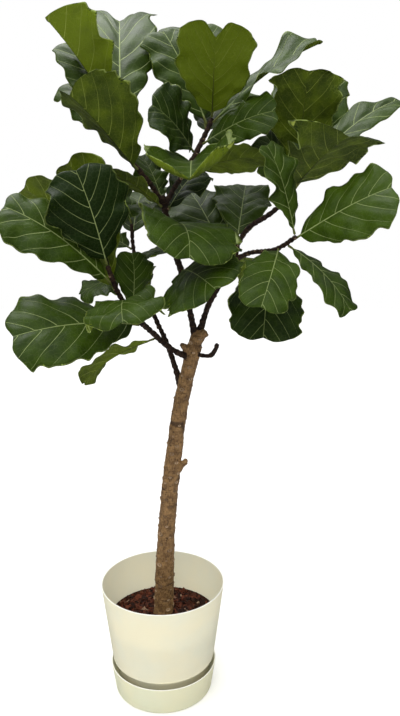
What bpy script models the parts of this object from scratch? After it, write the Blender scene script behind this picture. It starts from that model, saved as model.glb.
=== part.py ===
"""A fiddle leaf fig (Ficus lyrata) grown as a small standard tree, in a two-piece self-watering pot.

Metres, +Z up. The origin is the centre of the saucer's flat underside, where the pot stands on the
floor. The tree leans towards +X, and its crown starts about 0.8 m up.

The wood is one solid, because trunk and limbs grew as one piece. Each leaf is a solid of its own,
blade and stalk together, and stops a hair short of the bark that it grows from.
"""

import math
from collections import namedtuple

import bmesh
import bpy
import numpy as np
from mathutils import Vector

# ---------------------------------------------------------------- driving dimensions

GAP = 0.0003  # clearance between solids that touch in the real object

POT_RIM_RADIUS = 0.1475
POT_HEIGHT = 0.278
POT_WALL = 0.0028
SHOULDER_RADIUS = 0.1240  # where the tapered body turns in above the saucer
SHOULDER_HEIGHT = 0.088
NECK_RADIUS = 0.1155  # the narrower skirt that stands inside the saucer
POT_FLOOR_HEIGHT = 0.038
CUP_FLOOR_HEIGHT = 0.0075  # underside of the wick cup, clear of the saucer's floor
WICK_CUP_RADIUS = 0.036  # soil reaches down this cup into the water
DRAIN_HOLES = 8
DRAIN_HOLE_RADIUS = 0.004
WICK_HOLES = 4
WATER_NOTCHES = 4  # arches in the skirt's foot that let water in under the pot
WATER_NOTCH_RADIUS = 0.009

SAUCER_RIM_RADIUS = 0.1283
SAUCER_BASE_RADIUS = 0.1190
SAUCER_HEIGHT = 0.0712
SAUCER_WALL = 0.0026
SAUCER_FLOOR = 0.0030

SOIL_EDGE_HEIGHT = 0.181
SOIL_MOUND = 0.015  # rise of the soil from the pot wall to the trunk
SOIL_LUMP = 0.003
SOIL_RINGS = 6

LEAF_THICKNESS = 0.0012
STALK_RADIUS = 0.0021
STALK_SHARE = 0.06  # of the leaf's whole length
KEEL_DEPTH = 0.0034  # how far the midrib stands out under the blade, at its base
WIDEST_AT = 0.66  # of the blade's length, from its base
BLADE_STATIONS = (0.06, 0.22, 0.40, 0.56, 0.70, 0.82, 0.92, 0.985)  # where the blade's sections stand

TURNED_STEPS = 48
SHARP_ANGLE = math.radians(40)

# ---------------------------------------------------------------- the wood

# Each limb is a list of (x, y, z, radius) along its centre line, from its root to its end.
Limb = namedtuple("Limb", "points sides")

LIMBS = {
    "trunk": Limb(
        [
            (-0.003, 0.000, 0.060, 0.014),
            (-0.002, 0.000, 0.120, 0.022),
            (0.000, 0.000, 0.180, 0.0255),
            (0.002, 0.000, 0.215, 0.0235),
            (0.006, 0.000, 0.330, 0.0215),
            (0.012, 0.000, 0.430, 0.0200),
            (0.025, 0.000, 0.562, 0.0190),
            (0.044, 0.000, 0.708, 0.0175),
            (0.060, 0.000, 0.783, 0.0165),
            (0.075, 0.000, 0.844, 0.0160),
            (0.084, 0.000, 0.880, 0.0145),
        ],
        12,
    ),
    "cut_branch_stub": Limb(
        [(0.028, 0.000, 0.548, 0.009), (0.044, -0.010, 0.574, 0.008), (0.058, -0.020, 0.594, 0.0055)], 8
    ),
    "cut_leader_stub": Limb(
        [(0.080, 0.000, 0.862, 0.0125), (0.094, -0.004, 0.882, 0.0105), (0.104, -0.006, 0.890, 0.0090)], 8
    ),
    "knot_stub": Limb(
        [(0.068, 0.000, 0.846, 0.010), (0.056, -0.006, 0.856, 0.008), (0.049, -0.008, 0.862, 0.0055)], 8
    ),
    "dead_twig": Limb(
        [
            (0.078, -0.004, 0.840, 0.0050),
            (0.105, -0.015, 0.838, 0.0048),
            (0.119, -0.022, 0.846, 0.0060),
            (0.129, -0.028, 0.868, 0.0048),
        ],
        6,
    ),
    "left_arm": Limb(
        [
            (0.066, -0.002, 0.832, 0.0075),
            (0.040, -0.016, 0.846, 0.0065),
            (0.013, -0.035, 0.870, 0.0065),
            (-0.017, -0.062, 0.905, 0.0062),
            (-0.042, -0.090, 0.936, 0.0060),
            (-0.072, -0.120, 0.985, 0.0055),
            (-0.094, -0.140, 1.050, 0.0050),
        ],
        8,
    ),
    "left_rear_arm": Limb(
        [
            (0.045, 0.004, 0.768, 0.0085),
            (0.032, 0.015, 0.810, 0.0062),
            (0.014, 0.038, 0.856, 0.0060),
            (-0.010, 0.070, 0.900, 0.0056),
            (-0.032, 0.100, 0.945, 0.0054),
            (-0.053, 0.130, 1.000, 0.0050),
            (-0.068, 0.150, 1.060, 0.0048),
            (-0.073, 0.160, 1.120, 0.0045),
        ],
        8,
    ),
    "centre_arm": Limb(
        [
            (0.081, 0.000, 0.868, 0.0095),
            (0.070, 0.000, 0.925, 0.0070),
            (0.057, 0.000, 0.983, 0.0070),
            (0.047, -0.010, 1.032, 0.0075),
            (0.030, -0.020, 1.088, 0.0075),
            (0.018, -0.020, 1.145, 0.0070),
            (0.010, -0.020, 1.186, 0.0065),
        ],
        8,
    ),
    "top_left_shoot": Limb(
        [
            (0.013, -0.020, 1.165, 0.0060),
            (-0.012, -0.030, 1.207, 0.0055),
            (-0.048, -0.040, 1.252, 0.0055),
            (-0.068, -0.040, 1.295, 0.0050),
            (-0.074, -0.036, 1.330, 0.0045),
        ],
        8,
    ),
    "top_centre_shoot": Limb(
        [
            (0.013, -0.020, 1.160, 0.0065),
            (0.037, -0.010, 1.203, 0.0055),
            (0.069, 0.000, 1.250, 0.0060),
            (0.096, 0.020, 1.302, 0.0060),
            (0.116, 0.030, 1.345, 0.0050),
        ],
        8,
    ),
    "right_arm": Limb(
        [
            (0.084, 0.002, 0.868, 0.0095),
            (0.099, 0.010, 0.920, 0.0068),
            (0.115, 0.020, 0.960, 0.0068),
            (0.146, 0.030, 1.013, 0.0070),
            (0.166, 0.030, 1.057, 0.0080),
            (0.173, 0.030, 1.096, 0.0075),
        ],
        8,
    ),
    "top_right_shoot": Limb(
        [
            (0.171, 0.030, 1.080, 0.0068),
            (0.200, 0.040, 1.118, 0.0058),
            (0.245, 0.050, 1.146, 0.0058),
            (0.280, 0.050, 1.178, 0.0055),
            (0.302, 0.048, 1.222, 0.0050),
        ],
        8,
    ),
    "low_right_shoot": Limb(
        [
            (0.164, 0.030, 1.045, 0.0062),
            (0.199, 0.000, 1.064, 0.0052),
            (0.248, -0.060, 1.076, 0.0052),
            (0.284, -0.100, 1.104, 0.0048),
        ],
        8,
    ),
}

# ---------------------------------------------------------------- the leaves

# share: where on its limb the stalk leaves the wood, 0 being the limb's root and 1 its end.
# tip: where the leaf ends. faces: roughly where its upper side looks. width: of the blade.
# arch and droop: how steeply the midrib leaves and arrives, in degrees off its chord, the way that
# makes the upper side bulge. fold: how far each half tilts up from the midrib. curl: how far it has
# turned back down by the margin.
Leaf = namedtuple("Leaf", "share tip faces width arch droop fold curl")

# The leaves of each limb, by the name that they share and the limb that they grow on.
LEAVES = {
    ("leaf_left", "left_arm"): [
        Leaf(1.00, (-0.14, -0.19, 1.23), (0.4, -1.0, 0.1), 0.165, 10, 25, 8, 30),
        Leaf(0.91, (-0.275, -0.20, 1.165), (-0.1, -0.7, 0.8), 0.125, 15, 25, 10, 30),
        Leaf(0.89, (-0.18, -0.05, 1.25), (0.5, 0.7, 0.2), 0.140, 5, 25, 10, 30),
        Leaf(0.85, (-0.26, -0.10, 1.20), (0.3, 0.8, 0.6), 0.130, 10, 25, 10, 30),
        Leaf(0.72, (-0.05, -0.08, 1.07), (0.5, -0.9, 0.2), 0.080, 10, 25, 10, 30),
        Leaf(0.74, (-0.05, -0.28, 0.96), (-0.2, -0.3, 1.0), 0.150, 40, 45, 10, 30),
        Leaf(0.60, (-0.27, -0.21, 0.92), (0.0, -0.7, 0.7), 0.180, 15, 20, 10, 30),
        Leaf(0.42, (-0.16, -0.07, 0.79), (-0.3, 0.4, 0.9), 0.090, 15, 20, 20, 30),
    ],
    ("leaf_rear", "left_rear_arm"): [
        Leaf(0.72, (-0.19, 0.10, 0.96), (0.0, -0.2, 1.0), 0.130, 15, 20, 10, 30),
        Leaf(0.80, (-0.04, 0.03, 0.96), (0.3, 0.9, 0.3), 0.105, 20, 20, 10, 30),
        Leaf(0.86, (-0.21, 0.22, 1.10), (0.2, -0.3, 0.9), 0.140, 15, 25, 10, 30),
        Leaf(0.93, (-0.05, 0.32, 1.20), (-0.2, -0.3, 0.9), 0.140, 15, 25, 10, 30),
        Leaf(1.00, (-0.15, 0.20, 1.25), (0.6, -0.4, 0.3), 0.130, 15, 25, 10, 30),
    ],
    ("leaf_centre", "centre_arm"): [
        Leaf(0.48, (0.12, -0.20, 1.01), (-0.4, -0.5, 0.7), 0.185, 20, 25, 10, 30),
        Leaf(0.60, (-0.05, 0.07, 1.05), (-0.1, -0.2, 1.0), 0.110, 20, 20, 10, 30),
        Leaf(0.76, (0.07, -0.21, 1.07), (0.3, -0.3, 0.9), 0.20, 35, 50, 15, 10),
        Leaf(0.84, (-0.07, 0.04, 1.16), (0.0, -0.1, 1.0), 0.120, 20, 20, 10, 30),
        Leaf(0.90, (-0.10, -0.14, 1.23), (0.3, 0.5, 0.9), 0.075, 10, 20, 15, 30),
        Leaf(0.97, (-0.04, 0.05, 1.27), (0.6, -0.8, 0.2), 0.090, 10, 20, 10, 30),
        Leaf(0.86, (0.09, 0.07, 1.24), (-0.3, -0.9, 0.3), 0.090, 20, 20, 10, 30),
    ],
    ("leaf_top_left", "top_left_shoot"): [
        Leaf(1.00, (-0.205, -0.09, 1.515), (0.7, 0.6, 0.4), 0.15, 5, 10, 40, 15),
        Leaf(0.90, (-0.19, 0.052, 1.50), (0.4, -0.9, 0.2), 0.092, 5, 15, 10, 30),
        Leaf(0.94, (-0.092, 0.18, 1.57), (0.1, -1.0, 0.0), 0.163, 10, 20, 15, 30),
        Leaf(0.42, (-0.157, -0.13, 1.37), (0.45, 0.75, 0.4), 0.19, 0, 10, 38, 10),
        Leaf(0.72, (-0.20, 0.07, 1.42), (0.5, -0.8, 0.3), 0.095, 5, 15, 10, 30),
    ],
    ("leaf_top", "top_centre_shoot"): [
        Leaf(1.00, (0.12, -0.09, 1.48), (0.0, 1.0, 0.8), 0.155, 0, 10, 5, 20),
        Leaf(0.95, (0.33, 0.00, 1.485), (-0.5, -0.4, 0.8), 0.125, 10, 15, 20, 30),
        Leaf(0.91, (0.01, 0.09, 1.53), (0.3, -1.0, 0.2), 0.13, 10, 20, 10, 30),
        Leaf(0.87, (0.06, 0.20, 1.56), (0.1, -0.9, 0.4), 0.16, 10, 20, 10, 30),
        Leaf(0.60, (-0.005, -0.07, 1.36), (0.6, -0.6, 0.4), 0.14, 10, 20, 20, 20),
        Leaf(0.52, (0.07, -0.20, 1.215), (-0.1, 0.1, 1.0), 0.22, 10, -20, 15, -50),
        Leaf(0.46, (0.22, -0.09, 1.26), (-0.2, 0.6, 0.8), 0.12, 5, 10, 10, 30),
        Leaf(0.70, (0.24, -0.06, 1.35), (-0.3, -0.8, 0.6), 0.11, 10, 20, 15, 30),
        Leaf(0.80, (0.17, 0.23, 1.42), (-0.2, -0.6, 0.7), 0.15, 15, 20, 10, 30),
    ],
    ("leaf_right", "right_arm"): [
        Leaf(0.97, (0.20, 0.20, 1.21), (0.0, -0.8, 0.7), 0.14, 10, 20, 10, 30),
        Leaf(0.70, (0.06, 0.21, 1.20), (0.1, -0.8, 0.7), 0.16, 10, 20, 10, 30),
        Leaf(0.80, (0.27, 0.22, 0.92), (0.2, 0.2, 0.9), 0.14, 25, 25, 10, 30),
        Leaf(0.60, (0.11, 0.21, 1.07), (0.0, -0.4, 0.9), 0.13, 20, 20, 10, 30),
    ],
    ("leaf_top_right", "top_right_shoot"): [
        Leaf(1.00, (0.31, -0.03, 1.43), (-0.1, 1.0, 0.3), 0.145, 5, 15, 10, 30),
        Leaf(0.90, (0.375, -0.13, 1.295), (-0.2, 0.7, 0.7), 0.165, 5, 10, 15, 20),
        Leaf(0.84, (0.23, 0.02, 1.31), (0.4, -0.8, 0.4), 0.13, 10, 20, 10, 30),
        Leaf(0.95, (0.355, 0.20, 1.455), (0.0, -0.9, 0.5), 0.19, 10, 20, 10, 30),
        Leaf(0.86, (0.515, 0.05, 1.385), (-0.4, -0.5, 0.8), 0.10, 15, 25, 15, 30),
    ],
    ("leaf_low_right", "low_right_shoot"): [
        Leaf(1.00, (0.22, -0.12, 1.28), (0.7, -0.7, 0.1), 0.09, 5, 15, 20, 30),
        Leaf(0.94, (0.45, -0.18, 1.20), (-0.3, -0.8, 0.6), 0.15, 5, 15, 10, 30),
        Leaf(0.84, (0.39, -0.15, 0.96), (0.6, -0.6, 0.5), 0.09, 15, 20, 10, 30),
        Leaf(0.72, (0.205, -0.23, 0.98), (0.1, -0.8, 0.6), 0.115, 20, 20, 10, 30),
        Leaf(0.58, (0.22, -0.12, 0.90), (0.0, -1.0, 0.2), 0.155, 15, 10, 10, 30),
    ],
}

# ---------------------------------------------------------------- shared tools


def clear_scene():
    for obj in list(bpy.data.objects):
        bpy.data.objects.remove(obj, do_unlink=True)


def finish_material(name, colour, roughness, metallic=0.0):
    material = bpy.data.materials.new(name)
    material.use_nodes = True
    surface = material.node_tree.nodes["Principled BSDF"]
    surface.inputs["Base Color"].default_value = (*colour, 1.0)
    surface.inputs["Roughness"].default_value = roughness
    surface.inputs["Metallic"].default_value = metallic
    material.diffuse_color = (*colour, 1.0)
    return material


def add_mesh(name, points, faces, material, location=(0.0, 0.0, 0.0)):
    """A smooth-shaded object from world points, with its origin at the location."""
    mesh = bpy.data.meshes.new(name)
    mesh.from_pydata([Vector(point) - Vector(location) for point in points], [], faces)
    mesh.materials.append(material)
    mesh.shade_smooth()
    mesh.set_sharp_from_angle(angle=SHARP_ANGLE)
    obj = bpy.data.objects.new(name, mesh)
    obj.location = location
    bpy.context.scene.collection.objects.link(obj)
    return obj


def loft(rings):
    """Points and faces of the closed body through these rings, each a loop of the same length."""
    count = len(rings[0])
    points = [p for ring in rings for p in ring]
    faces = [tuple(range(count - 1, -1, -1))]
    for k in range(len(rings) - 1):
        here, ahead = k * count, (k + 1) * count
        for i in range(count):
            j = (i + 1) % count
            faces.append((here + i, here + j, ahead + j, ahead + i))
    last = (len(rings) - 1) * count
    faces.append(tuple(last + i for i in range(count)))
    return points, faces


def turned(name, profile, material, steps=TURNED_STEPS):
    """The solid that a closed outline of (radius, height) points sweeps about the pot's axis.

    The outline runs down the outer side first, and its two ends lie on the axis.
    """
    rings = []
    points = []
    for radius, height in profile:
        if radius < 1e-6:
            rings.append([len(points)] * steps)
            points.append((0.0, 0.0, height))
            continue
        rings.append(list(range(len(points), len(points) + steps)))
        for k in range(steps):
            turn = 2 * math.pi * k / steps
            points.append((radius * math.cos(turn), radius * math.sin(turn), height))
    faces = []
    for upper, lower in zip(rings, rings[1:]):
        for k in range(steps):
            j = (k + 1) % steps
            corners = dict.fromkeys((upper[k], lower[k], lower[j], upper[j]))
            if len(corners) > 2:
                faces.append(tuple(corners))
    return add_mesh(name, points, faces, material)


def arc(centre, radius, start, end, steps):
    """Points on a circle in the (radius, height) plane, the angles in degrees from the outward way."""
    angles = [math.radians(start + (end - start) * k / steps) for k in range(steps + 1)]
    return [(centre[0] + radius * math.cos(a), centre[1] + radius * math.sin(a)) for a in angles]


def cylinder_cutter(name, radius, start, end):
    """A closed cylinder between two points, for a Boolean to cut with."""
    along = Vector(end) - Vector(start)
    bm = bmesh.new()
    bmesh.ops.create_cone(
        bm, cap_ends=True, segments=12, radius1=radius, radius2=radius, depth=along.length
    )
    turn = along.to_track_quat("Z", "Y").to_matrix().to_4x4()
    bmesh.ops.transform(bm, matrix=turn, verts=bm.verts)
    bmesh.ops.translate(bm, vec=(Vector(start) + Vector(end)) / 2, verts=bm.verts)
    mesh = bpy.data.meshes.new(name)
    bm.to_mesh(mesh)
    bm.free()
    cutter = bpy.data.objects.new(name, mesh)
    bpy.context.scene.collection.objects.link(cutter)
    return cutter


def combine(target, other, operation):
    """Joins other to target, or cuts it out of target, and hides it as a helper."""
    other.hide_render = True
    other.display_type = "WIRE"
    modifier = target.modifiers.new(f"{operation.title()} {other.name}", "BOOLEAN")
    modifier.operation = operation
    modifier.object = other


# ---------------------------------------------------------------- pot and saucer


def build_saucer(material):
    """The water tray: a flat floor, a rounded foot, and a wall that flares to a rounded rim."""
    foot = 0.006
    lip = SAUCER_WALL / 2
    profile = (
        arc((SAUCER_RIM_RADIUS - lip, SAUCER_HEIGHT - lip), lip, 180, 0, 6)
        + arc((SAUCER_BASE_RADIUS - foot, foot), foot, 0, -90, 4)
        + [(0.0, 0.0), (0.0, SAUCER_FLOOR)]
        + arc((SAUCER_BASE_RADIUS - foot - SAUCER_WALL, foot + SAUCER_FLOOR - 0.001), foot - 0.001, -90, 0, 3)
    )
    return turned("saucer", profile + profile[:1], material)


def neck_radius_at(height):
    """The skirt inside the saucer narrows slightly towards its foot."""
    share = (height - SAUCER_FLOOR) / (SHOULDER_HEIGHT - SAUCER_FLOOR)
    return NECK_RADIUS - 0.008 * (1 - share)


def inner_radius_at(height):
    """Inside radius of the pot's body above its shoulder."""
    share = (height - SHOULDER_HEIGHT) / (POT_HEIGHT - SHOULDER_HEIGHT)
    return SHOULDER_RADIUS + (POT_RIM_RADIUS - SHOULDER_RADIUS) * share - POT_WALL


def pot_lining(clearance=0.0):
    """Outline of the pot's inside from its axis out and up, held off from the plastic by the clearance."""
    floor = POT_FLOOR_HEIGHT + clearance
    cup_floor = CUP_FLOOR_HEIGHT + POT_WALL + clearance
    return [
        (0.0, cup_floor),
        (WICK_CUP_RADIUS - POT_WALL - clearance, cup_floor),
        (WICK_CUP_RADIUS - clearance, floor),
        (neck_radius_at(floor) - POT_WALL - clearance, floor),
        (neck_radius_at(SHOULDER_HEIGHT) - POT_WALL - clearance, SHOULDER_HEIGHT - 0.006),
        (inner_radius_at(SHOULDER_HEIGHT + 0.004) - clearance, SHOULDER_HEIGHT + 0.004),
    ]


def build_pot(material):
    """The planter: body, turned-in shoulder, skirt, raised floor and the wick cup in its middle."""
    lip = POT_WALL / 2
    foot = SAUCER_FLOOR + GAP
    floor = POT_FLOOR_HEIGHT
    turn_in = 0.007
    profile = (
        arc((POT_RIM_RADIUS - lip, POT_HEIGHT - lip), lip, 180, 0, 6)
        + arc((SHOULDER_RADIUS - turn_in, SHOULDER_HEIGHT), turn_in, 0, -90, 4)
        + [
            (neck_radius_at(SHOULDER_HEIGHT - turn_in - 0.004), SHOULDER_HEIGHT - turn_in - 0.004),
            (neck_radius_at(foot), foot),
            (neck_radius_at(foot) - POT_WALL, foot),
            (neck_radius_at(floor) - POT_WALL, floor - POT_WALL),
            (WICK_CUP_RADIUS + POT_WALL, floor - POT_WALL),
            (WICK_CUP_RADIUS, CUP_FLOOR_HEIGHT),
            (0.0, CUP_FLOOR_HEIGHT),
        ]
        + pot_lining()
    )
    pot = turned("pot", profile + profile[:1], material)
    for k in range(DRAIN_HOLES):
        turn = 2 * math.pi * (k + 0.5) / DRAIN_HOLES
        x, y = 0.075 * math.cos(turn), 0.075 * math.sin(turn)
        hole = cylinder_cutter(
            f"drain_cutter_{k + 1}", DRAIN_HOLE_RADIUS, (x, y, floor - 0.01), (x, y, floor + 0.01)
        )
        combine(pot, hole, "DIFFERENCE")
    for k in range(WATER_NOTCHES):
        turn = 2 * math.pi * (k + 0.25) / WATER_NOTCHES
        way = Vector((math.cos(turn), math.sin(turn), 0.0))
        low = Vector((0.0, 0.0, foot - 0.0015))
        notch = cylinder_cutter(
            f"notch_cutter_{k + 1}", WATER_NOTCH_RADIUS, way * 0.09 + low, way * 0.12 + low
        )
        combine(pot, notch, "DIFFERENCE")
    for k in range(WICK_HOLES):
        turn = 2 * math.pi * (k + 0.45) / WICK_HOLES
        way = Vector((math.cos(turn), math.sin(turn), 0.0))
        height = Vector((0.0, 0.0, 0.020))
        hole = cylinder_cutter(
            f"wick_cutter_{k + 1}", 0.003, way * (WICK_CUP_RADIUS - 0.008) + height, way * 0.05 + height
        )
        combine(pot, hole, "DIFFERENCE")
    return pot


# ---------------------------------------------------------------- wood


def smooth_path(points, steps):
    """Catmull-Rom through the points, as an array of steps + 1 rows."""
    points = np.array(points, float)
    padded = np.vstack([2 * points[0] - points[1], points, 2 * points[-1] - points[-2]])
    spans = len(points) - 1
    rows = []
    for share in np.linspace(0.0, 1.0, steps + 1):
        place = min(share * spans, spans - 1e-9)
        k, t = int(place), place - int(place)
        a, b, c, d = padded[k : k + 4]
        rows.append(
            0.5 * (2 * b + (c - a) * t + (2 * a - 5 * b + 4 * c - d) * t**2 + (3 * b - 3 * c + d - a) * t**3)
        )
    return np.array(rows)


def unit(vector):
    vector = np.asarray(vector, float)
    return vector / np.linalg.norm(vector)


def tube(path, sides, grow=0.0):
    """Rings of a round bar along a path of (x, y, z, radius) rows."""
    centres, radii = path[:, :3], path[:, 3] + grow
    across = unit(np.cross(centres[1] - centres[0], (0.0, 1.0, 0.0)))
    rings = []
    for k, centre in enumerate(centres):
        along = unit(centres[min(k + 1, len(centres) - 1)] - centres[max(k - 1, 0)])
        across = unit(across - along * np.dot(across, along))
        other = np.cross(along, across)
        turns = [2 * math.pi * i / sides for i in range(sides)]
        rings.append([centre + radii[k] * (across * math.cos(a) + other * math.sin(a)) for a in turns])
    return rings


def limb_path(name):
    points = LIMBS[name].points
    return smooth_path(points, 2 * (len(points) - 1))


def build_wood(material):
    """Trunk, limbs, twig and stubs, joined to one solid."""
    trunk = None
    for name, limb in LIMBS.items():
        points, faces = loft(tube(limb_path(name), limb.sides))
        piece = add_mesh("trunk_and_limbs" if trunk is None else f"{name}_to_join", points, faces, material)
        if trunk is None:
            trunk = piece
        else:
            combine(trunk, piece, "UNION")
    return trunk


# ---------------------------------------------------------------- soil


def build_soil(material):
    """Potting soil: fills the pot and its wick cup, mounded and lumpy on top, with a socket for the trunk."""
    rng = np.random.default_rng(5)
    edge = SOIL_EDGE_HEIGHT
    reach = inner_radius_at(edge) - 2 * GAP
    shares = [k / SOIL_RINGS for k in range(SOIL_RINGS)]
    top = [(reach * share, edge + SOIL_MOUND * (1 - share**2)) for share in shares]
    soil = turned("soil", top + [(reach, edge)] + pot_lining(2 * GAP)[::-1], material)
    for vertex in soil.data.vertices:
        out = math.hypot(vertex.co.x, vertex.co.y)
        if vertex.co.z > edge + 0.0001 and out > 0.04:
            vertex.co.z += rng.uniform(-SOIL_LUMP, SOIL_LUMP)
    sides = LIMBS["trunk"].sides
    rings = tube(limb_path("trunk"), sides, grow=2 * GAP)
    rings[0] = [point - (0.0, 0.0, 2 * GAP) for point in rings[0]]
    points, faces = loft(rings)
    combine(soil, add_mesh("trunk_socket_cutter", points, faces, material), "DIFFERENCE")
    return soil


# ---------------------------------------------------------------- leaves


def blade_outline(share):
    """Half width of the blade, 0 to 1, at a share of its length: eared base, waist, broad round end."""
    share = np.clip(share, 0.0, 1.0)
    rising = np.sin(0.5 * np.pi * np.minimum(share / WIDEST_AT, 1.0)) ** 0.95
    ears = 0.13 * np.exp(-(((share - 0.09) / 0.07) ** 2)) * (1 - np.exp(-share / 0.02))
    beyond = np.maximum(share - WIDEST_AT, 0.0) / (1 - WIDEST_AT)
    return (rising + ears) * (1 - beyond**2.4) ** 0.55


def stalk_start(limb, leaf):
    """Where the leaf's stalk meets the bark, a gap clear of it at whatever angle it leaves."""
    path = limb_path(limb)
    place = leaf.share * (len(path) - 1)
    k = min(int(place), len(path) - 2)
    row = path[k] + (path[k + 1] - path[k]) * (place - k)
    along = unit(path[k + 1, :3] - path[k, :3])
    way = unit(np.array(leaf.tip) - row[:3])
    out = way - along * np.dot(way, along)
    sideways = np.linalg.norm(out)
    if leaf.share < 1.0 or sideways > 0.8:
        lean = math.sqrt(max(0.0, 1 - sideways**2))
        return row[:3] + unit(out) * (row[3] + GAP + STALK_RADIUS * min(1.0, 0.15 + 1.3 * lean))
    return row[:3] + along * (GAP + STALK_RADIUS * min(1.0, 0.15 + 1.3 * sideways))


def midrib(limb, leaf):
    """A function of share that gives the leaf's centre line there, its side way and its upper way."""
    faces = np.array(leaf.faces, float)
    start = stalk_start(limb, leaf)
    end = np.array(leaf.tip, float)
    chord = end - start
    length = np.linalg.norm(chord)
    along = chord / length
    upper = unit(faces - along * np.dot(faces, along))
    side = np.cross(upper, along)
    rise, fall = math.radians(leaf.arch), math.radians(leaf.droop)
    pull = 0.36 * length
    second = start + pull * (along * math.cos(rise) + upper * math.sin(rise))
    third = end - pull * (along * math.cos(fall) - upper * math.sin(fall))

    def at(share):
        rest = 1 - share
        centre = (
            rest**3 * start + 3 * rest**2 * share * second + 3 * rest * share**2 * third + share**3 * end
        )
        way = unit(
            rest**2 * (second - start) + 2 * rest * share * (third - second) + share**2 * (end - third)
        )
        up = np.cross(way, side)
        return centre, side, up

    return at


def half_section(reach, fold, curl):
    """(out, up) of a point a share of the way from midrib to margin, for a half blade of width 1."""
    start, bend = math.radians(fold), math.radians(curl)
    now = start - bend * reach
    return (math.sin(start) - math.sin(now)) / bend, (math.cos(now) - math.cos(start)) / bend


def stalk_ring(centre, across, up):
    turns = [math.radians(45 * k) for k in range(8)]
    return [centre + STALK_RADIUS * (across * math.cos(a) + up * math.sin(a)) for a in turns]


def blade_ring(centre, across, up, leaf, blade_share):
    """Margin, upper side, margin and under side with its keel, as eight points."""
    half = max(0.5 * leaf.width * float(blade_outline(blade_share)), 1.5 * STALK_RADIUS)
    top = 0.5 * LEAF_THICKNESS
    keel = LEAF_THICKNESS + KEEL_DEPTH * (1 - blade_share)
    section = [(1, 0), (0.5, top), (0, top), (-0.5, top), (-1, 0), (-0.5, -top), (0, -keel), (0.5, -top)]
    ring = []
    for reach, lift in section:
        out, rise = half_section(abs(reach), leaf.fold, leaf.curl)
        ring.append(centre + across * math.copysign(out, reach) * half + up * (rise * half + lift))
    return ring


def build_leaf(name, limb, leaf, material):
    """One leaf, lofted through sections from its stalk's foot to its tip."""
    at = midrib(limb, leaf)
    rings = [stalk_ring(*at(STALK_SHARE * k / 2)) for k in range(3)]
    for blade_share in BLADE_STATIONS:
        share = STALK_SHARE + (1 - STALK_SHARE) * blade_share
        rings.append(blade_ring(*at(share), leaf, blade_share))
    points, faces = loft(rings)
    return add_mesh(name, points, faces, material, location=stalk_start(limb, leaf))


# ---------------------------------------------------------------- the whole plant


def main():
    clear_scene()
    plastic = finish_material("cream_plastic", (0.80, 0.77, 0.60), 0.45)
    bark = finish_material("bark", (0.16, 0.10, 0.055), 0.9)
    earth = finish_material("potting_soil", (0.055, 0.022, 0.014), 0.95)
    green = finish_material("leaf_green", (0.045, 0.11, 0.03), 0.4)
    build_saucer(plastic)
    build_pot(plastic)
    build_wood(bark)
    build_soil(earth)
    for (name, limb), leaves in LEAVES.items():
        for number, leaf in enumerate(leaves, start=1):
            build_leaf(f"{name}_{number:02d}", limb, leaf, green)


main()
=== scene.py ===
"""A fiddle leaf fig grown as a small tree, in a cream plastic planter on its water saucer.

The sections follow the plant as it is put together: saucer, planter, soil, bark chips, wood, leaf
scars, leaves. The studio comes last. Metres, +Z up, with the origin under the middle of the saucer.
"""

import math
from collections import namedtuple

import bmesh
import bpy
import numpy as np
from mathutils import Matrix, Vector, noise


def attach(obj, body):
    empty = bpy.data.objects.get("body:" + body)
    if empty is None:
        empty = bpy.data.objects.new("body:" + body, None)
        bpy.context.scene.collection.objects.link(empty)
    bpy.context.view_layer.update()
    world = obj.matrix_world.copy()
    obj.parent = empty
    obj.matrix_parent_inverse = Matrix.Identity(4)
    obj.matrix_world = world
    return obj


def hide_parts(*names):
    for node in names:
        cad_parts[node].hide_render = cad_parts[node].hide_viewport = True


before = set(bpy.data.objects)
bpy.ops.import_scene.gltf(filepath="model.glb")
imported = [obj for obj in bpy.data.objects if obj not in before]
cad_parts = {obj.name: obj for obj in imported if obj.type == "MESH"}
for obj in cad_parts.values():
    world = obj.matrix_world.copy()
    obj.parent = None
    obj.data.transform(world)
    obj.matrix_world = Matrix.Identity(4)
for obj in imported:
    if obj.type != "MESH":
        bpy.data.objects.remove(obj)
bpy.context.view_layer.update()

# ---------------------------------------------------------------- saucer
# The water tray under the planter: one injection-moulded shell of cream polypropylene, with a flat
# floor, a rounded foot and a wall that flares up to a rounded lip. The planter stands loose in it.

SAUCER_RIM_RADIUS = 0.1283
SAUCER_BASE_RADIUS = 0.1190
SAUCER_HEIGHT = 0.0712
SAUCER_WALL = 0.0026
SAUCER_FLOOR = 0.0030
SAUCER_FOOT = 0.006
SAUCER_CREAM = (0.720, 0.710, 0.500)
# The pale cream of the painted highlight along the lips of the saucer and the pot.
LIP_HIGHLIGHT = (0.930, 0.920, 0.820)
TURNED_STEPS = 144


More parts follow.
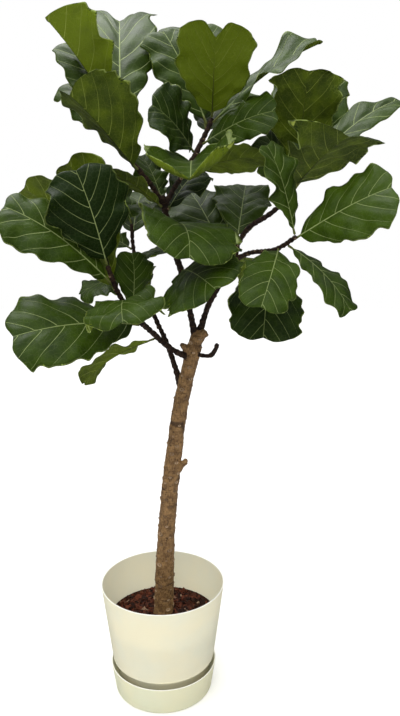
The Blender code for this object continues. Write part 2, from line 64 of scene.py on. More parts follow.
class Wire:
    """One socket of a node tree. Python's operators on it add Math nodes, or Vector Math for vectors."""

    def __init__(self, tree, socket=None):
        self.tree = tree
        self.socket = socket

    def node(self, kind, settings=None, sockets=None, output=0):
        """Adds a node: first its settings, then the values or links of its sockets. Gives one output."""
        made = self.tree.nodes.new(kind)
        for name, value in (settings or {}).items():
            setattr(made, name, value)
        for key, value in (sockets or {}).items():
            if isinstance(value, Wire):
                self.tree.links.new(value.socket, made.inputs[key])
            else:
                made.inputs[key].default_value = value
        return Wire(self.tree, made.outputs[output])

    def math(self, operation, *others):
        """A Math node on this value, or a Vector Math node where a vector takes part."""
        values = (self, *others)
        sockets = [v.socket.type if isinstance(v, Wire) else type(v).__name__ for v in values]
        vectors = [kind in ("VECTOR", "tuple") for kind in sockets]
        if not any(vectors):
            return self.node("ShaderNodeMath", {"operation": operation}, dict(enumerate(values)))
        if operation == "MULTIPLY" and not all(vectors):
            vector, factor = values if vectors[0] else values[::-1]
            return self.node("ShaderNodeVectorMath", {"operation": "SCALE"}, {0: vector, 3: factor})
        output = 1 if operation in ("LENGTH", "DISTANCE", "DOT_PRODUCT") else 0
        return self.node("ShaderNodeVectorMath", {"operation": operation}, dict(enumerate(values)), output)

    def turned_round(self, operation, other):
        """The operator with its sides swapped, for a plain number on the left."""
        return self.node("ShaderNodeMath", {"operation": operation}, {0: other, 1: self})

    def __add__(self, other):
        return self.math("ADD", other)

    def __sub__(self, other):
        return self.math("SUBTRACT", other)

    def __mul__(self, other):
        return self.math("MULTIPLY", other)

    def __truediv__(self, other):
        return self.math("DIVIDE", other)

    def __pow__(self, other):
        return self.math("POWER", other)

    def __gt__(self, other):
        return self.math("GREATER_THAN", other)

    def __neg__(self):
        return self.math("MULTIPLY", -1.0)

    def __abs__(self):
        return self.math("ABSOLUTE")

    def __rsub__(self, other):
        return self.turned_round("SUBTRACT", other)

    def __rtruediv__(self, other):
        return self.turned_round("DIVIDE", other)

    __radd__ = __add__
    __rmul__ = __mul__

    def rise(self, low, high):
        """0 below low, 1 above high, and a smooth step between them. With high below low it falls."""
        settings = {"interpolation_type": "SMOOTHSTEP"}
        return self.node("ShaderNodeMapRange", settings, {0: self, 1: low, 2: high})

    def blend(self, first, second):
        """Mixes two colours, with this value as the factor."""
        first, second = ((*c, 1.0) if isinstance(c, tuple) else c for c in (first, second))
        return self.node("ShaderNodeMix", {"data_type": "RGBA"}, {0: self, 6: first, 7: second}, 2)

    def vector(self, x, y, z):
        """A vector of three values or wires."""
        return self.node("ShaderNodeCombineXYZ", {}, {0: x, 1: y, 2: z})

    def parts(self):
        """The three numbers of a vector."""
        return [self.node("ShaderNodeSeparateXYZ", {}, {0: self}, k) for k in range(3)]


def new_material(name, **constants):
    """A material, a wire to build its patterns from, and a function that sets its surface's sockets."""
    material = bpy.data.materials.new(name)
    material.use_nodes = True
    surface = material.node_tree.nodes["Principled BSDF"]

    def finish(**sockets):
        for key, value in sockets.items():
            socket = surface.inputs[key.replace("_", " ")]
            if isinstance(value, Wire):
                material.node_tree.links.new(value.socket, socket)
            else:
                socket.default_value = value

    finish(**constants)
    return material, Wire(material.node_tree), finish


def object_place(paint):
    """The place on the object, in metres."""
    return paint.node("ShaderNodeTexCoord", output=3)


def noise_at(paint, place, scale, detail=3.0, roughness=0.5):
    """Smooth noise between 0 and 1."""
    return paint.node(
        "ShaderNodeTexNoise",
        {},
        {"Vector": place, "Scale": scale, "Detail": detail, "Roughness": roughness},
    )


def bump(paint, height, distance, strength=1.0):
    return paint.node("ShaderNodeBump", {}, {"Strength": strength, "Distance": distance, "Height": height})


def moulded_plastic(name, cream, top):
    """Satin moulded polypropylene: fine grain, faint flow marks, rubbed patches and a painted highlight
    along the lip.
    """
    material, paint, finish = new_material(
        name,
        Specular_IOR_Level=0.45,
        Subsurface_Weight=0.35,
        Subsurface_Scale=0.02,
        Subsurface_Radius=(1.0, 0.95, 0.85),
    )
    place = object_place(paint)
    cloud = noise_at(paint, place, 9.0, 4.0)
    grain = noise_at(paint, place, 1400.0, 2.0)
    rubbed = noise_at(paint, place, 38.0, 5.0, 0.65)
    warm = tuple(c * k for c, k in zip(cream, (1.03, 1.0, 0.94)))
    cool = tuple(c * k for c, k in zip(cream, (0.96, 0.985, 1.0)))
    # Painted highlight: a pale band of colour along the top of the lip, where light catches it.
    lip_highlight = place.parts()[2].rise(top - 0.0024, top - 0.0010)
    finish(
        Base_Color=(lip_highlight * 0.8).blend(cloud.rise(0.3, 0.7).blend(cool, warm), LIP_HIGHLIGHT),
        Roughness=0.36 + 0.12 * rubbed.rise(0.35, 0.7) + 0.04 * grain - 0.1 * lip_highlight,
        Normal=bump(paint, grain + 2.0 * cloud, 0.00012, 0.7),
    )
    return material


def arc(centre, radius, start, end, steps):
    """Points on a circle in the (radius, height) plane, the angles in degrees from the outward way."""
    angles = [math.radians(start + (end - start) * k / steps) for k in range(steps + 1)]
    return [(centre[0] + radius * math.cos(a), centre[1] + radius * math.sin(a)) for a in angles]


def turned_mesh(name, profile, steps=TURNED_STEPS):
    """The closed mesh that an outline of (radius, height) points sweeps round the plant's axis."""
    mesh = bmesh.new()
    rings = []
    for radius, height in profile:
        if radius < 1e-6:
            rings.append([mesh.verts.new((0.0, 0.0, height))] * steps)
            continue
        turns = [2 * math.pi * k / steps for k in range(steps)]
        rings.append([mesh.verts.new((radius * math.cos(a), radius * math.sin(a), height)) for a in turns])
    for upper, lower in zip(rings, rings[1:] + rings[:1]):
        for k in range(steps):
            corners = dict.fromkeys((upper[k], lower[k], lower[k - steps + 1], upper[k - steps + 1]))
            if len(corners) > 2:
                mesh.faces.new(tuple(corners))
    bmesh.ops.recalc_face_normals(mesh, faces=mesh.faces)
    made = bpy.data.meshes.new(name)
    mesh.to_mesh(made)
    mesh.free()
    return made


def new_object(name, data):
    """A new object in the scene, at the origin."""
    made = bpy.data.objects.new(name, data)
    bpy.context.scene.collection.objects.link(made)
    return made


def show(name, mesh, material, slot, *nodes, sharp=40):
    """Makes the mesh a finished, smooth-shaded piece that stands for the named CAD nodes."""
    mesh.materials.clear()
    mesh.materials.append(material)
    mesh.shade_smooth()
    if sharp:
        mesh.set_sharp_from_angle(angle=math.radians(sharp))
    piece = new_object(name, mesh)
    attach(piece, "root")
    if nodes:
        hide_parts(*nodes)
    return piece


saucer_lip = SAUCER_WALL / 2
saucer_profile = (
    arc((SAUCER_RIM_RADIUS - saucer_lip, SAUCER_HEIGHT - saucer_lip), saucer_lip, 180, 0, 12)
    + arc((SAUCER_BASE_RADIUS - SAUCER_FOOT, SAUCER_FOOT), SAUCER_FOOT, 0, -90, 8)
    + [(0.0, 0.0), (0.0, SAUCER_FLOOR)]
    + arc((SAUCER_BASE_RADIUS - SAUCER_FOOT - SAUCER_WALL, SAUCER_FOOT + 0.002), 0.005, -90, 0, 6)
)
saucer_plastic = moulded_plastic("saucer plastic", SAUCER_CREAM, SAUCER_HEIGHT)
saucer_mesh = turned_mesh("saucer_shell", saucer_profile)
show("saucer_shell", saucer_mesh, saucer_plastic, "cream_plastic_saucer", "saucer")

# ---------------------------------------------------------------- planter
# A tapered moulded pot with a rounded lip. Its wall turns in above the saucer to a narrower skirt,
# which carries it. Inside are a raised floor with drain holes and a cup that lets soil reach the water.

RIM_RADIUS = 0.1475
POT_HEIGHT = 0.278
POT_WALL = 0.0028
SHOULDER_RADIUS = 0.1240
SHOULDER_HEIGHT = 0.088
SHOULDER_TURN_IN = 0.007
NECK_RADIUS = 0.1155
POT_FLOOR_HEIGHT = 0.038
CUP_FLOOR_HEIGHT = 0.0075
CUP_RADIUS = 0.036
POT_FOOT = 0.0033
NECK_HEIGHT = 0.077
NECK_TAPER = 0.008
DRAIN_HOLES = 8
DRAIN_CIRCLE = 0.075
DRAIN_RADIUS = 0.004
WATER_HOLES = 4
NOTCH_RADIUS = 0.009
NOTCH_HEIGHT = 0.0018
CUP_HOLE_RADIUS = 0.003
CUP_HOLE_HEIGHT = 0.020
POT_CREAM = (0.790, 0.745, 0.545)


def neck_radius_at(height):
    """The skirt inside the saucer narrows slightly towards its foot."""
    share = (height - SAUCER_FLOOR) / (SHOULDER_HEIGHT - SAUCER_FLOOR)
    return NECK_RADIUS - NECK_TAPER * (1 - share)


def inner_radius_at(height):
    """Inside radius of the pot's body above its shoulder."""
    share = (height - SHOULDER_HEIGHT) / (POT_HEIGHT - SHOULDER_HEIGHT)
    return SHOULDER_RADIUS + (RIM_RADIUS - SHOULDER_RADIUS) * share - POT_WALL


def pot_lining(clearance=0.0):
    """Outline of the pot's inside from its axis out and up, held off from the plastic by the clearance."""
    floor = POT_FLOOR_HEIGHT + clearance
    cup_floor = CUP_FLOOR_HEIGHT + POT_WALL + clearance
    return [
        (0.0, cup_floor),
        (CUP_RADIUS - POT_WALL - clearance, cup_floor),
        (CUP_RADIUS - clearance, floor),
        (neck_radius_at(floor) - POT_WALL - clearance, floor),
        (neck_radius_at(SHOULDER_HEIGHT) - POT_WALL - clearance, SHOULDER_HEIGHT - 0.006),
        (inner_radius_at(SHOULDER_HEIGHT + 0.004) - clearance, SHOULDER_HEIGHT + 0.004),
    ]


def add_rod(mesh, radius, start, end):
    """Adds a closed round rod between two points to a cutter's mesh."""
    along = Vector(end) - Vector(start)
    turn = along.to_track_quat("Z", "Y").to_matrix().to_4x4()
    turn.translation = (Vector(start) + Vector(end)) / 2
    bmesh.ops.create_cone(
        mesh, cap_ends=True, segments=24, radius1=radius, radius2=radius, depth=along.length, matrix=turn
    )


pot_lip = POT_WALL / 2
pot_profile = (
    arc((RIM_RADIUS - pot_lip, POT_HEIGHT - pot_lip), pot_lip, 180, 0, 12)
    + arc((SHOULDER_RADIUS - SHOULDER_TURN_IN, SHOULDER_HEIGHT), SHOULDER_TURN_IN, 0, -90, 10)
    + [
        (neck_radius_at(NECK_HEIGHT), NECK_HEIGHT),
        (neck_radius_at(POT_FOOT), POT_FOOT),
        (neck_radius_at(POT_FOOT) - POT_WALL, POT_FOOT),
        (neck_radius_at(POT_FLOOR_HEIGHT) - POT_WALL, POT_FLOOR_HEIGHT - POT_WALL),
        (CUP_RADIUS + POT_WALL, POT_FLOOR_HEIGHT - POT_WALL),
        (CUP_RADIUS, CUP_FLOOR_HEIGHT),
        (0.0, CUP_FLOOR_HEIGHT),
    ]
    + pot_lining()
)
pot_blank = new_object("pot_blank", turned_mesh("pot_blank", pot_profile))
holes = bmesh.new()
for k in range(DRAIN_HOLES):
    turn = 2 * math.pi * (k + 0.5) / DRAIN_HOLES
    x, y = DRAIN_CIRCLE * math.cos(turn), DRAIN_CIRCLE * math.sin(turn)
    add_rod(holes, DRAIN_RADIUS, (x, y, POT_FLOOR_HEIGHT - 0.01), (x, y, POT_FLOOR_HEIGHT + 0.01))
# Each row of water holes: how far round it starts, its rods' radius and height, and where they begin
# and end, out from the pot's middle. The first are notches in the skirt's foot, the second in the cup.
for start, radius, height, inner, outer in (
    (0.25, NOTCH_RADIUS, NOTCH_HEIGHT, 0.09, 0.12),
    (0.45, CUP_HOLE_RADIUS, CUP_HOLE_HEIGHT, 0.028, 0.05),
):
    for k in range(WATER_HOLES):
        turn = 2 * math.pi * (k + start) / WATER_HOLES
        x, y = math.cos(turn), math.sin(turn)
        add_rod(holes, radius, (x * inner, y * inner, height), (x * outer, y * outer, height))
hole_mesh = bpy.data.meshes.new("pot_holes")
holes.to_mesh(hole_mesh)
holes.free()
hole_cutter = new_object("pot_holes", hole_mesh)
drilling = pot_blank.modifiers.new("holes", "BOOLEAN")
drilling.operation = "DIFFERENCE"
drilling.object = hole_cutter


def plain_mesh(source, name):
    """The source object's evaluated mesh, as a plain mesh. The source object is then removed."""
    graph = bpy.context.evaluated_depsgraph_get()
    mesh = bpy.data.meshes.new_from_object(source.evaluated_get(graph))
    mesh.name = name
    bpy.data.objects.remove(source)
    return mesh


pot_mesh = plain_mesh(pot_blank, "pot_shell")
bpy.data.objects.remove(hole_cutter)
pot_plastic = moulded_plastic("pot plastic", POT_CREAM, POT_HEIGHT)
show("pot_shell", pot_mesh, pot_plastic, "cream_plastic", "pot")

# ---------------------------------------------------------------- soil
# Loose bark-rich potting mix, poured in to a hand's breadth under the rim, settled into a low mound round
# the trunk. It fills the planter down into its cup. This is the ground that the loose chips lie on.

SOIL_EDGE_HEIGHT = 0.181
SOIL_MOUND = 0.015
SOIL_RINGS = 40
SOIL_CLEARANCE = 0.0006
EARTH = (0.020, 0.0085, 0.0050)
EARTH_RED = (0.060, 0.022, 0.012)


def rough(x, y, z, scale, seed, depth=3):
    """Fractal noise between about -1 and 1 at a place."""
    place = Vector((x * scale + seed, y * scale - seed, z * scale + 2 * seed))
    return noise.fractal(place, 0.9, 2.1, depth)


soil_reach = inner_radius_at(SOIL_EDGE_HEIGHT) - SOIL_CLEARANCE
soil_shares = [k / SOIL_RINGS for k in range(SOIL_RINGS + 1)]
soil_top = [(soil_reach * s, SOIL_EDGE_HEIGHT + SOIL_MOUND * (1 - s**2)) for s in soil_shares]
soil_mesh = turned_mesh("soil_body", soil_top + pot_lining(SOIL_CLEARANCE)[::-1])
for vertex in soil_mesh.vertices:
    x, y, z = vertex.co
    out = math.hypot(x, y)
    if z > SOIL_EDGE_HEIGHT - 0.001 and out < 0.97 * soil_reach:
        lumps = 0.0045 * rough(x, y, 0.0, 45.0, 3.1) + 0.0035 * rough(x, y, 0.0, 160.0, 7.7)
        vertex.co.z += lumps - 0.002
soil_material, paint, finish = new_material("potting mix", Specular_IOR_Level=0.1)
place = object_place(paint)
crumbs = noise_at(paint, place, 260.0, 6.0, 0.7)
damp = noise_at(paint, place, 30.0, 4.0)
finish(
    Base_Color=(crumbs * 0.7 + damp * 0.3).rise(0.35, 0.72).blend(EARTH, EARTH_RED),
    Roughness=0.75 + 0.2 * crumbs,
    Normal=bump(paint, crumbs, 0.003, 0.9),
)
show("soil_body", soil_mesh, soil_material, "potting_soil", "soil", sharp=0)

# ---------------------------------------------------------------- bark chips
# Shredded fir bark and coconut husk that top the mix: flat red-brown flakes, 4 to 20 mm long, lying
# every way, with a few pale pieces of raw wood among them.

CHIP_COUNT = 1500
CHIP_LENGTH = 0.017
CHIP_AREA = 0.055
CHIPS_CLEAR_OF_TRUNK = 0.021
CHIPS_CLEAR_OF_POT = 0.007
CHIP_DARK = (0.016, 0.0065, 0.0045)
CHIP_RED = (0.110, 0.030, 0.014)
CHIP_PALE = (0.300, 0.200, 0.130)


def new_tree(name, inputs):
    """A Geometry Nodes tree with these named inputs, as (tree, wire, input wires by name, end function)."""
    tree = bpy.data.node_groups.new(name, "GeometryNodeTree")
    tree.interface.new_socket("Geometry", in_out="INPUT", socket_type="NodeSocketGeometry")
    for label, kind in inputs.items():
        tree.interface.new_socket(label, in_out="INPUT", socket_type="NodeSocket" + kind)
    tree.interface.new_socket("Geometry", in_out="OUTPUT", socket_type="NodeSocketGeometry")
    entry = tree.nodes.new("NodeGroupInput")
    given = {socket.name: Wire(tree, socket) for socket in entry.outputs if socket.name}

    def end(geometry, material):
        """Ends the tree in Realize Instances, Set Shade Smooth and Set Material."""
        real = geometry.node("GeometryNodeRealizeInstances", {}, {0: geometry})
        smooth = real.node("GeometryNodeSetShadeSmooth", {}, {0: real})
        painted = smooth.node("GeometryNodeSetMaterial", {}, {"Geometry": smooth, "Material": material})
        leave = tree.nodes.new("NodeGroupOutput")
        tree.links.new(painted.socket, leave.inputs[0])

    return tree, Wire(tree), given, end


def grown(name, tree, values, start=None):
    """The plain mesh that the tree makes of the start mesh, with its inputs set by socket identifier."""
    maker = new_object(name, start or bpy.data.meshes.new(name))
    modifier = maker.modifiers.new(tree.name, "NODES")
    modifier.node_group = tree
    for item in tree.interface.items_tree:
        if item.item_type == "SOCKET" and item.in_out == "INPUT" and item.name in values:
            modifier[item.identifier] = values[item.name]
    return plain_mesh(maker, name)


def carried(paint, name, output=2):
    """What the mesh carries under this name: a number, or a vector at output 1."""
    return paint.node("ShaderNodeAttribute", {"attribute_name": name}, output=output)


def keep(geometry, name, value, domain, kind="FLOAT"):
    """Stores a value on the geometry under this name, for its material to read."""
    return geometry.node(
        "GeometryNodeStoreNamedAttribute",
        {"data_type": kind, "domain": domain},
        {"Geometry": geometry, "Name": name, "Value": value},
    )


chip_material, paint, finish = new_material("bark chip", Specular_IOR_Level=0.15)
tone = carried(paint, "tone")
place = object_place(paint)
fibre = noise_at(paint, place, 700.0, 4.0, 0.7)
red = (tone * 0.8 + fibre * 0.35).rise(0.25, 0.95).blend(CHIP_DARK, CHIP_RED)
finish(
    Base_Color=tone.rise(0.965, 0.985).blend(red, CHIP_PALE),
    Roughness=0.55 + 0.3 * fibre,
    Normal=bump(paint, fibre, 0.0008, 0.8),
)

tree, wire, given, end = new_tree("loose chips", {"Count": "Float", "Chip": "Float", "Seed": "Int"})
radius = (wire.node("GeometryNodeInputPosition") * (1.0, 1.0, 0.0)).math("LENGTH")
height = wire.node("GeometryNodeInputPosition").parts()[2]
near_edge = radius > soil_reach - CHIPS_CLEAR_OF_POT
on_top = (height > SOIL_EDGE_HEIGHT - 0.004) * (radius > CHIPS_CLEAR_OF_TRUNK) * (1 - near_edge)
scatter = wire.node(
    "GeometryNodeDistributePointsOnFaces",
    {},
    {"Mesh": given["Geometry"], "Density": given["Count"] * on_top / CHIP_AREA, "Seed": given["Seed"]},
)
flake = wire.node("GeometryNodeMeshCube", {}, {"Size": (1.0, 0.5, 0.17), "Vertices X": 4, "Vertices Y": 3})
flake_place = wire.node("GeometryNodeInputPosition")
bent = wire.node("ShaderNodeTexNoise", {}, {"Vector": flake_place, "Scale": 2.3}, 1) - (0.5, 0.5, 0.5)
flake = wire.node("GeometryNodeSetPosition", {}, {"Geometry": flake, "Offset": bent * 0.55})


def random_between(wire, low, high, seed):
    """A random number for each point, or a random vector where the limits are tuples."""
    vector = isinstance(low, tuple)
    settings = {"data_type": "FLOAT_VECTOR" if vector else "FLOAT"}
    keys = (0, 1) if vector else (2, 3)
    sockets = {keys[0]: low, keys[1]: high, "Seed": seed}
    return wire.node("FunctionNodeRandomValue", settings, sockets, 0 if vector else 1)


length = random_between(wire, 0.0, 1.0, 3) ** 1.6 * 0.8 + 0.32
spin = random_between(wire, (-0.6, -0.6, 0.0), (0.6, 0.6, 6.283), 4)
stretch = random_between(wire, (0.8, 0.6, 0.7), (1.3, 1.3, 1.8), 6)
laid = wire.node(
    "GeometryNodeInstanceOnPoints",
    {},
    {
        "Points": scatter,
        "Instance": flake,
        "Rotation": wire.node("FunctionNodeEulerToRotation", {}, {0: spin}),
        "Scale": stretch * (length * given["Chip"]),
    },
)
end(keep(laid, "tone", random_between(wire, 0.0, 1.0, 9), "INSTANCE"), chip_material)
chip_values = {"Count": float(CHIP_COUNT), "Chip": CHIP_LENGTH, "Seed": 5}
chip_mesh = grown("bark_chips", tree, chip_values, soil_mesh.copy())
show("bark_chips", chip_mesh, chip_material, "potting_soil", sharp=50)

# ---------------------------------------------------------------- trunk and limbs
# One leaning trunk, topped at a fork, with thin limbs that grew on from its side buds and forked again,
# and stubs where branches were pruned off. They grew as one piece of round wood under thin bark: mid
# brown and ringed by old stipule scars on the trunk, purple-brown and knobbly on the young limbs.

BARK_VOXEL = 0.0017
BARK_SIDES = 24
PATH_STEPS = 14
RING_SPACING = 0.041
YOUNG_RING_SPACING = 0.013
BARK_TAN = (0.285, 0.165, 0.066)
BARK_BROWN = (0.125, 0.068, 0.028)
BARK_DARK = (0.030, 0.015, 0.009)
LIMB_DARK = (0.014, 0.0075, 0.0055)
LIMB_BROWN = (0.048, 0.026, 0.016)
LENTICEL = (0.330, 0.215, 0.125)

# Each limb is a list of (x, y, z, radius) along its centre line, from its root to its end.
LIMBS = {
    "trunk": [
        (-0.003, 0.0, 0.06, 0.014),
        (-0.002, 0.0, 0.12, 0.022),
        (0.0, 0.0, 0.18, 0.0255),
        (0.002, 0.0, 0.215, 0.0235),
        (0.006, 0.0, 0.33, 0.0215),
        (0.012, 0.0, 0.43, 0.02),
        (0.025, 0.0, 0.562, 0.019),
        (0.044, 0.0, 0.708, 0.0175),
        (0.06, 0.0, 0.783, 0.0165),
        (0.075, 0.0, 0.844, 0.016),
        (0.084, 0.0, 0.88, 0.0145),
    ],
    "cut_branch_stub": [
        (0.028, 0.0, 0.548, 0.009),
        (0.044, -0.01, 0.574, 0.008),
        (0.058, -0.02, 0.594, 0.0055),
    ],
    "cut_leader_stub": [
        (0.08, 0.0, 0.862, 0.0125),
        (0.094, -0.004, 0.882, 0.0105),
        (0.104, -0.006, 0.89, 0.009),
    ],
    "knot_stub": [
        (0.068, 0.0, 0.846, 0.01),
        (0.056, -0.006, 0.856, 0.008),
        (0.049, -0.008, 0.862, 0.0055),
    ],
    "dead_twig": [
        (0.078, -0.004, 0.84, 0.005),
        (0.105, -0.015, 0.838, 0.0048),
        (0.119, -0.022, 0.846, 0.006),
        (0.129, -0.028, 0.868, 0.0048),
    ],
    "left_arm": [
        (0.066, -0.002, 0.832, 0.0075),
        (0.04, -0.016, 0.846, 0.0065),
        (0.013, -0.035, 0.87, 0.0065),
        (-0.017, -0.062, 0.905, 0.0062),
        (-0.042, -0.09, 0.936, 0.006),
        (-0.072, -0.12, 0.985, 0.0055),
        (-0.094, -0.14, 1.05, 0.005),
    ],
    "left_rear_arm": [
        (0.045, 0.004, 0.768, 0.0085),
        (0.032, 0.015, 0.81, 0.0062),
        (0.014, 0.038, 0.856, 0.006),
        (-0.01, 0.07, 0.9, 0.0056),
        (-0.032, 0.1, 0.945, 0.0054),
        (-0.053, 0.13, 1.0, 0.005),
        (-0.068, 0.15, 1.06, 0.0048),
        (-0.073, 0.16, 1.12, 0.0045),
    ],
    "centre_arm": [
        (0.081, 0.0, 0.868, 0.0095),
        (0.07, 0.0, 0.925, 0.007),
        (0.057, 0.0, 0.983, 0.007),
        (0.047, -0.01, 1.032, 0.0075),
        (0.03, -0.02, 1.088, 0.0075),
        (0.018, -0.02, 1.145, 0.007),
        (0.01, -0.02, 1.186, 0.0065),
    ],
    "top_left_shoot": [
        (0.013, -0.02, 1.165, 0.006),
        (-0.012, -0.03, 1.207, 0.0055),
        (-0.048, -0.04, 1.252, 0.0055),
        (-0.068, -0.04, 1.295, 0.005),
        (-0.074, -0.036, 1.33, 0.0045),
    ],
    "top_centre_shoot": [
        (0.013, -0.02, 1.16, 0.0065),
        (0.037, -0.01, 1.203, 0.0055),
        (0.069, 0.0, 1.25, 0.006),
        (0.096, 0.02, 1.302, 0.006),
        (0.116, 0.03, 1.345, 0.005),
    ],
    "right_arm": [
        (0.084, 0.002, 0.868, 0.0095),
        (0.099, 0.01, 0.92, 0.0068),
        (0.115, 0.02, 0.96, 0.0068),
        (0.146, 0.03, 1.013, 0.007),
        (0.166, 0.03, 1.057, 0.008),
        (0.173, 0.03, 1.096, 0.0075),
    ],
    "top_right_shoot": [
        (0.171, 0.03, 1.08, 0.0068),
        (0.2, 0.04, 1.118, 0.0058),
        (0.245, 0.05, 1.146, 0.0058),
        (0.28, 0.05, 1.178, 0.0055),
        (0.302, 0.048, 1.222, 0.005),
    ],
    "low_right_shoot": [
        (0.164, 0.03, 1.045, 0.0062),
        (0.199, 0.0, 1.064, 0.0052),
        (0.248, -0.06, 1.076, 0.0052),
        (0.284, -0.1, 1.104, 0.0048),
    ],
}


def smooth_path(points, steps):
    """Catmull-Rom through the points, as an array of steps + 1 rows."""
    points = np.array(points, float)
    padded = np.vstack([2 * points[0] - points[1], points, 2 * points[-1] - points[-2]])
    spans = len(points) - 1
    rows = []
    for share in np.linspace(0.0, 1.0, steps + 1):
        place = min(share * spans, spans - 1e-9)
        k, t = int(place), place - int(place)
        a, b, c, d = padded[k : k + 4]
        bend, swing = 2 * a - 5 * b + 4 * c - d, 3 * b - 3 * c + d - a
        rows.append(0.5 * (2 * b + (c - a) * t + bend * t**2 + swing * t**3))
    return np.array(rows)


def unit(vector):
    vector = np.asarray(vector, float)
    return vector / np.linalg.norm(vector)


def tube_mesh(paths, sides):
    """One mesh of closed round tubes, one along each path of (x, y, z, radius) rows."""
    points, faces = [], []
    turns = [2 * math.pi * i / sides for i in range(sides)]
    for path in paths:
        centres, first = path[:, :3], len(points)
        across = unit(np.cross(centres[1] - centres[0], (0.0, 1.0, 0.0)))
        for k, centre in enumerate(centres):
            along = unit(centres[min(k + 1, len(centres) - 1)] - centres[max(k - 1, 0)])
            across = unit(across - along * np.dot(across, along))
            other = np.cross(along, across)
            points += [centre + path[k, 3] * (across * math.cos(a) + other * math.sin(a)) for a in turns]
        for k in range(len(path) - 1):
            here, ahead = first + k * sides, first + (k + 1) * sides
            for i in range(sides):
                j = (i + 1) % sides
                faces.append((here + i, here + j, ahead + j, ahead + i))
        last = first + (len(path) - 1) * sides
        faces.append(tuple(range(first + sides - 1, first - 1, -1)))
        faces.append(tuple(range(last, last + sides)))
    mesh = bpy.data.meshes.new("tubes")
    mesh.from_pydata([tuple(p) for p in points], [], faces)
    return mesh


fine_paths = {name: smooth_path(row, PATH_STEPS * (len(row) - 1)) for name, row in LIMBS.items()}
wood_blank = new_object("wood_blank", tube_mesh(fine_paths.values(), BARK_SIDES))
grafting = wood_blank.modifiers.new("grown together", "REMESH")
grafting.mode = "VOXEL"
grafting.voxel_size = BARK_VOXEL
rounding = wood_blank.modifiers.new("rounded crotches", "SMOOTH")
rounding.factor = 0.5
rounding.iterations = 3
wood_mesh = plain_mesh(wood_blank, "trunk_and_limbs_bark")

# Each vertex's nearest place on a centre line gives its height along the limb, for rings and swellings.
samples = np.vstack(list(fine_paths.values()))
is_young = {name: float(name != "trunk" and "stub" not in name) for name in LIMBS}
young = np.concatenate([[is_young[name]] * len(path) for name, path in fine_paths.items()])
along = np.concatenate(
    [
        np.concatenate([[0.0], np.cumsum(np.linalg.norm(np.diff(path[:, :3], axis=0), axis=1))]) + 0.37 * k
        for k, path in enumerate(fine_paths.values())
    ]
)
vertex_count = len(wood_mesh.vertices)
places = np.empty(vertex_count * 3)
wood_mesh.vertices.foreach_get("co", places)
places = places.reshape(-1, 3)
normals = np.empty(vertex_count * 3)
wood_mesh.vertex_normals.foreach_get("vector", normals)
normals = normals.reshape(-1, 3)
nearest = np.empty(vertex_count, int)
for first in range(0, vertex_count, 20000):
    part = places[first : first + 20000]
    reach = np.linalg.norm(part[:, None, :] - samples[None, :, :3], axis=2) - samples[None, :, 3]
    nearest[first : first + 20000] = reach.argmin(1)
on_limb = young[nearest]
ways = np.roll(samples[:, :3], -1, axis=0) - np.roll(samples[:, :3], 1, axis=0)
ways = ways / np.linalg.norm(ways, axis=1, keepdims=True)
length_along = along[nearest] + ((places - samples[nearest, :3]) * ways[nearest]).sum(1)
ring = np.empty(vertex_count)
lift = np.empty(vertex_count)
for k, (x, y, z) in enumerate(places):
    wander = 0.004 * rough(x, y, z, 30.0, 1.7, 2)
    if on_limb[k] > 0.5:
        phase = (length_along[k] + wander) / YOUNG_RING_SPACING
        ring[k] = abs(phase - round(phase)) * 2
        lift[k] = 0.0011 * (0.4 - ring[k]) + 0.0012 * rough(x, y, z, 110.0, 5.0)
    else:
        phase = (length_along[k] + wander + 0.03 * rough(0.0, 0.0, z, 9.0, 4.4, 2)) / RING_SPACING
        broken = max(0.0, 0.9 + 2.0 * rough(x, y, z, 20.0, 9.1, 2))
        ring[k] = abs(phase - round(phase)) * 2 + 0.25 * min(1.0, broken)
        lift[k] = 0.0006 * min(1.0, ring[k] * 5) + 0.0017 * rough(x, y, z, 42.0, 2.3) - 0.0004
        lift[k] += 0.0008 * rough(x, y, z * 3.0, 90.0, 6.2, 2)
places = places + normals * lift[:, None]
wood_mesh.vertices.foreach_set("co", places.ravel())
for name, values in (("ring", ring), ("young", on_limb)):
    layer = wood_mesh.attributes.new(name, "FLOAT", "POINT")
    layer.data.foreach_set("value", values.astype(np.float32))

bark_material, paint, finish = new_material("bark", Specular_IOR_Level=0.3)
place = object_place(paint)
ring_mark = carried(paint, "ring").rise(0.22, 0.05)
youth = carried(paint, "young")
stretched = paint.node("ShaderNodeMapping", {}, {"Vector": place, "Scale": (1.0, 1.0, 0.28)})
blotch = noise_at(paint, place, 55.0, 5.0, 0.6)
fissure = noise_at(paint, stretched, 420.0, 5.0, 0.7)
crosswise = paint.node("ShaderNodeMapping", {}, {"Vector": place, "Scale": (1.0, 1.0, 2.4)})
lenticels = paint.node("ShaderNodeTexVoronoi", {}, {"Vector": crosswise, "Scale": 190.0, "Randomness": 1.0})
lenticel_mark = lenticels.rise(0.26, 0.14) * blotch.rise(0.42, 0.6)
old = (blotch * 0.65 + fissure * 0.35).rise(0.36, 0.64).blend(BARK_BROWN, BARK_TAN)
old = (fissure.rise(0.48, 0.36) * 0.75).blend(old, BARK_DARK)
wrinkled = paint.node("ShaderNodeMapping", {}, {"Vector": place, "Scale": (1.0, 1.0, 4.5)})
wrinkle = noise_at(paint, wrinkled, 120.0, 4.0, 0.6)
old = (wrinkle.rise(0.44, 0.34) * 0.75).blend(old, BARK_DARK)
old = (wrinkle.rise(0.60, 0.70) * 0.55).blend(old, LENTICEL)
old = (ring_mark * 0.7).blend(old, BARK_DARK)
old = (lenticel_mark * 0.6).blend(old, LENTICEL)
new = (blotch * 0.5 + fissure * 0.5).rise(0.4, 0.68).blend(LIMB_DARK, LIMB_BROWN)
new = (ring_mark * 0.35).blend(new, BARK_BROWN)
relief = fissure * 0.6 + blotch * 0.5 + wrinkle * 0.8 + lenticel_mark * 0.25 - ring_mark * 0.5
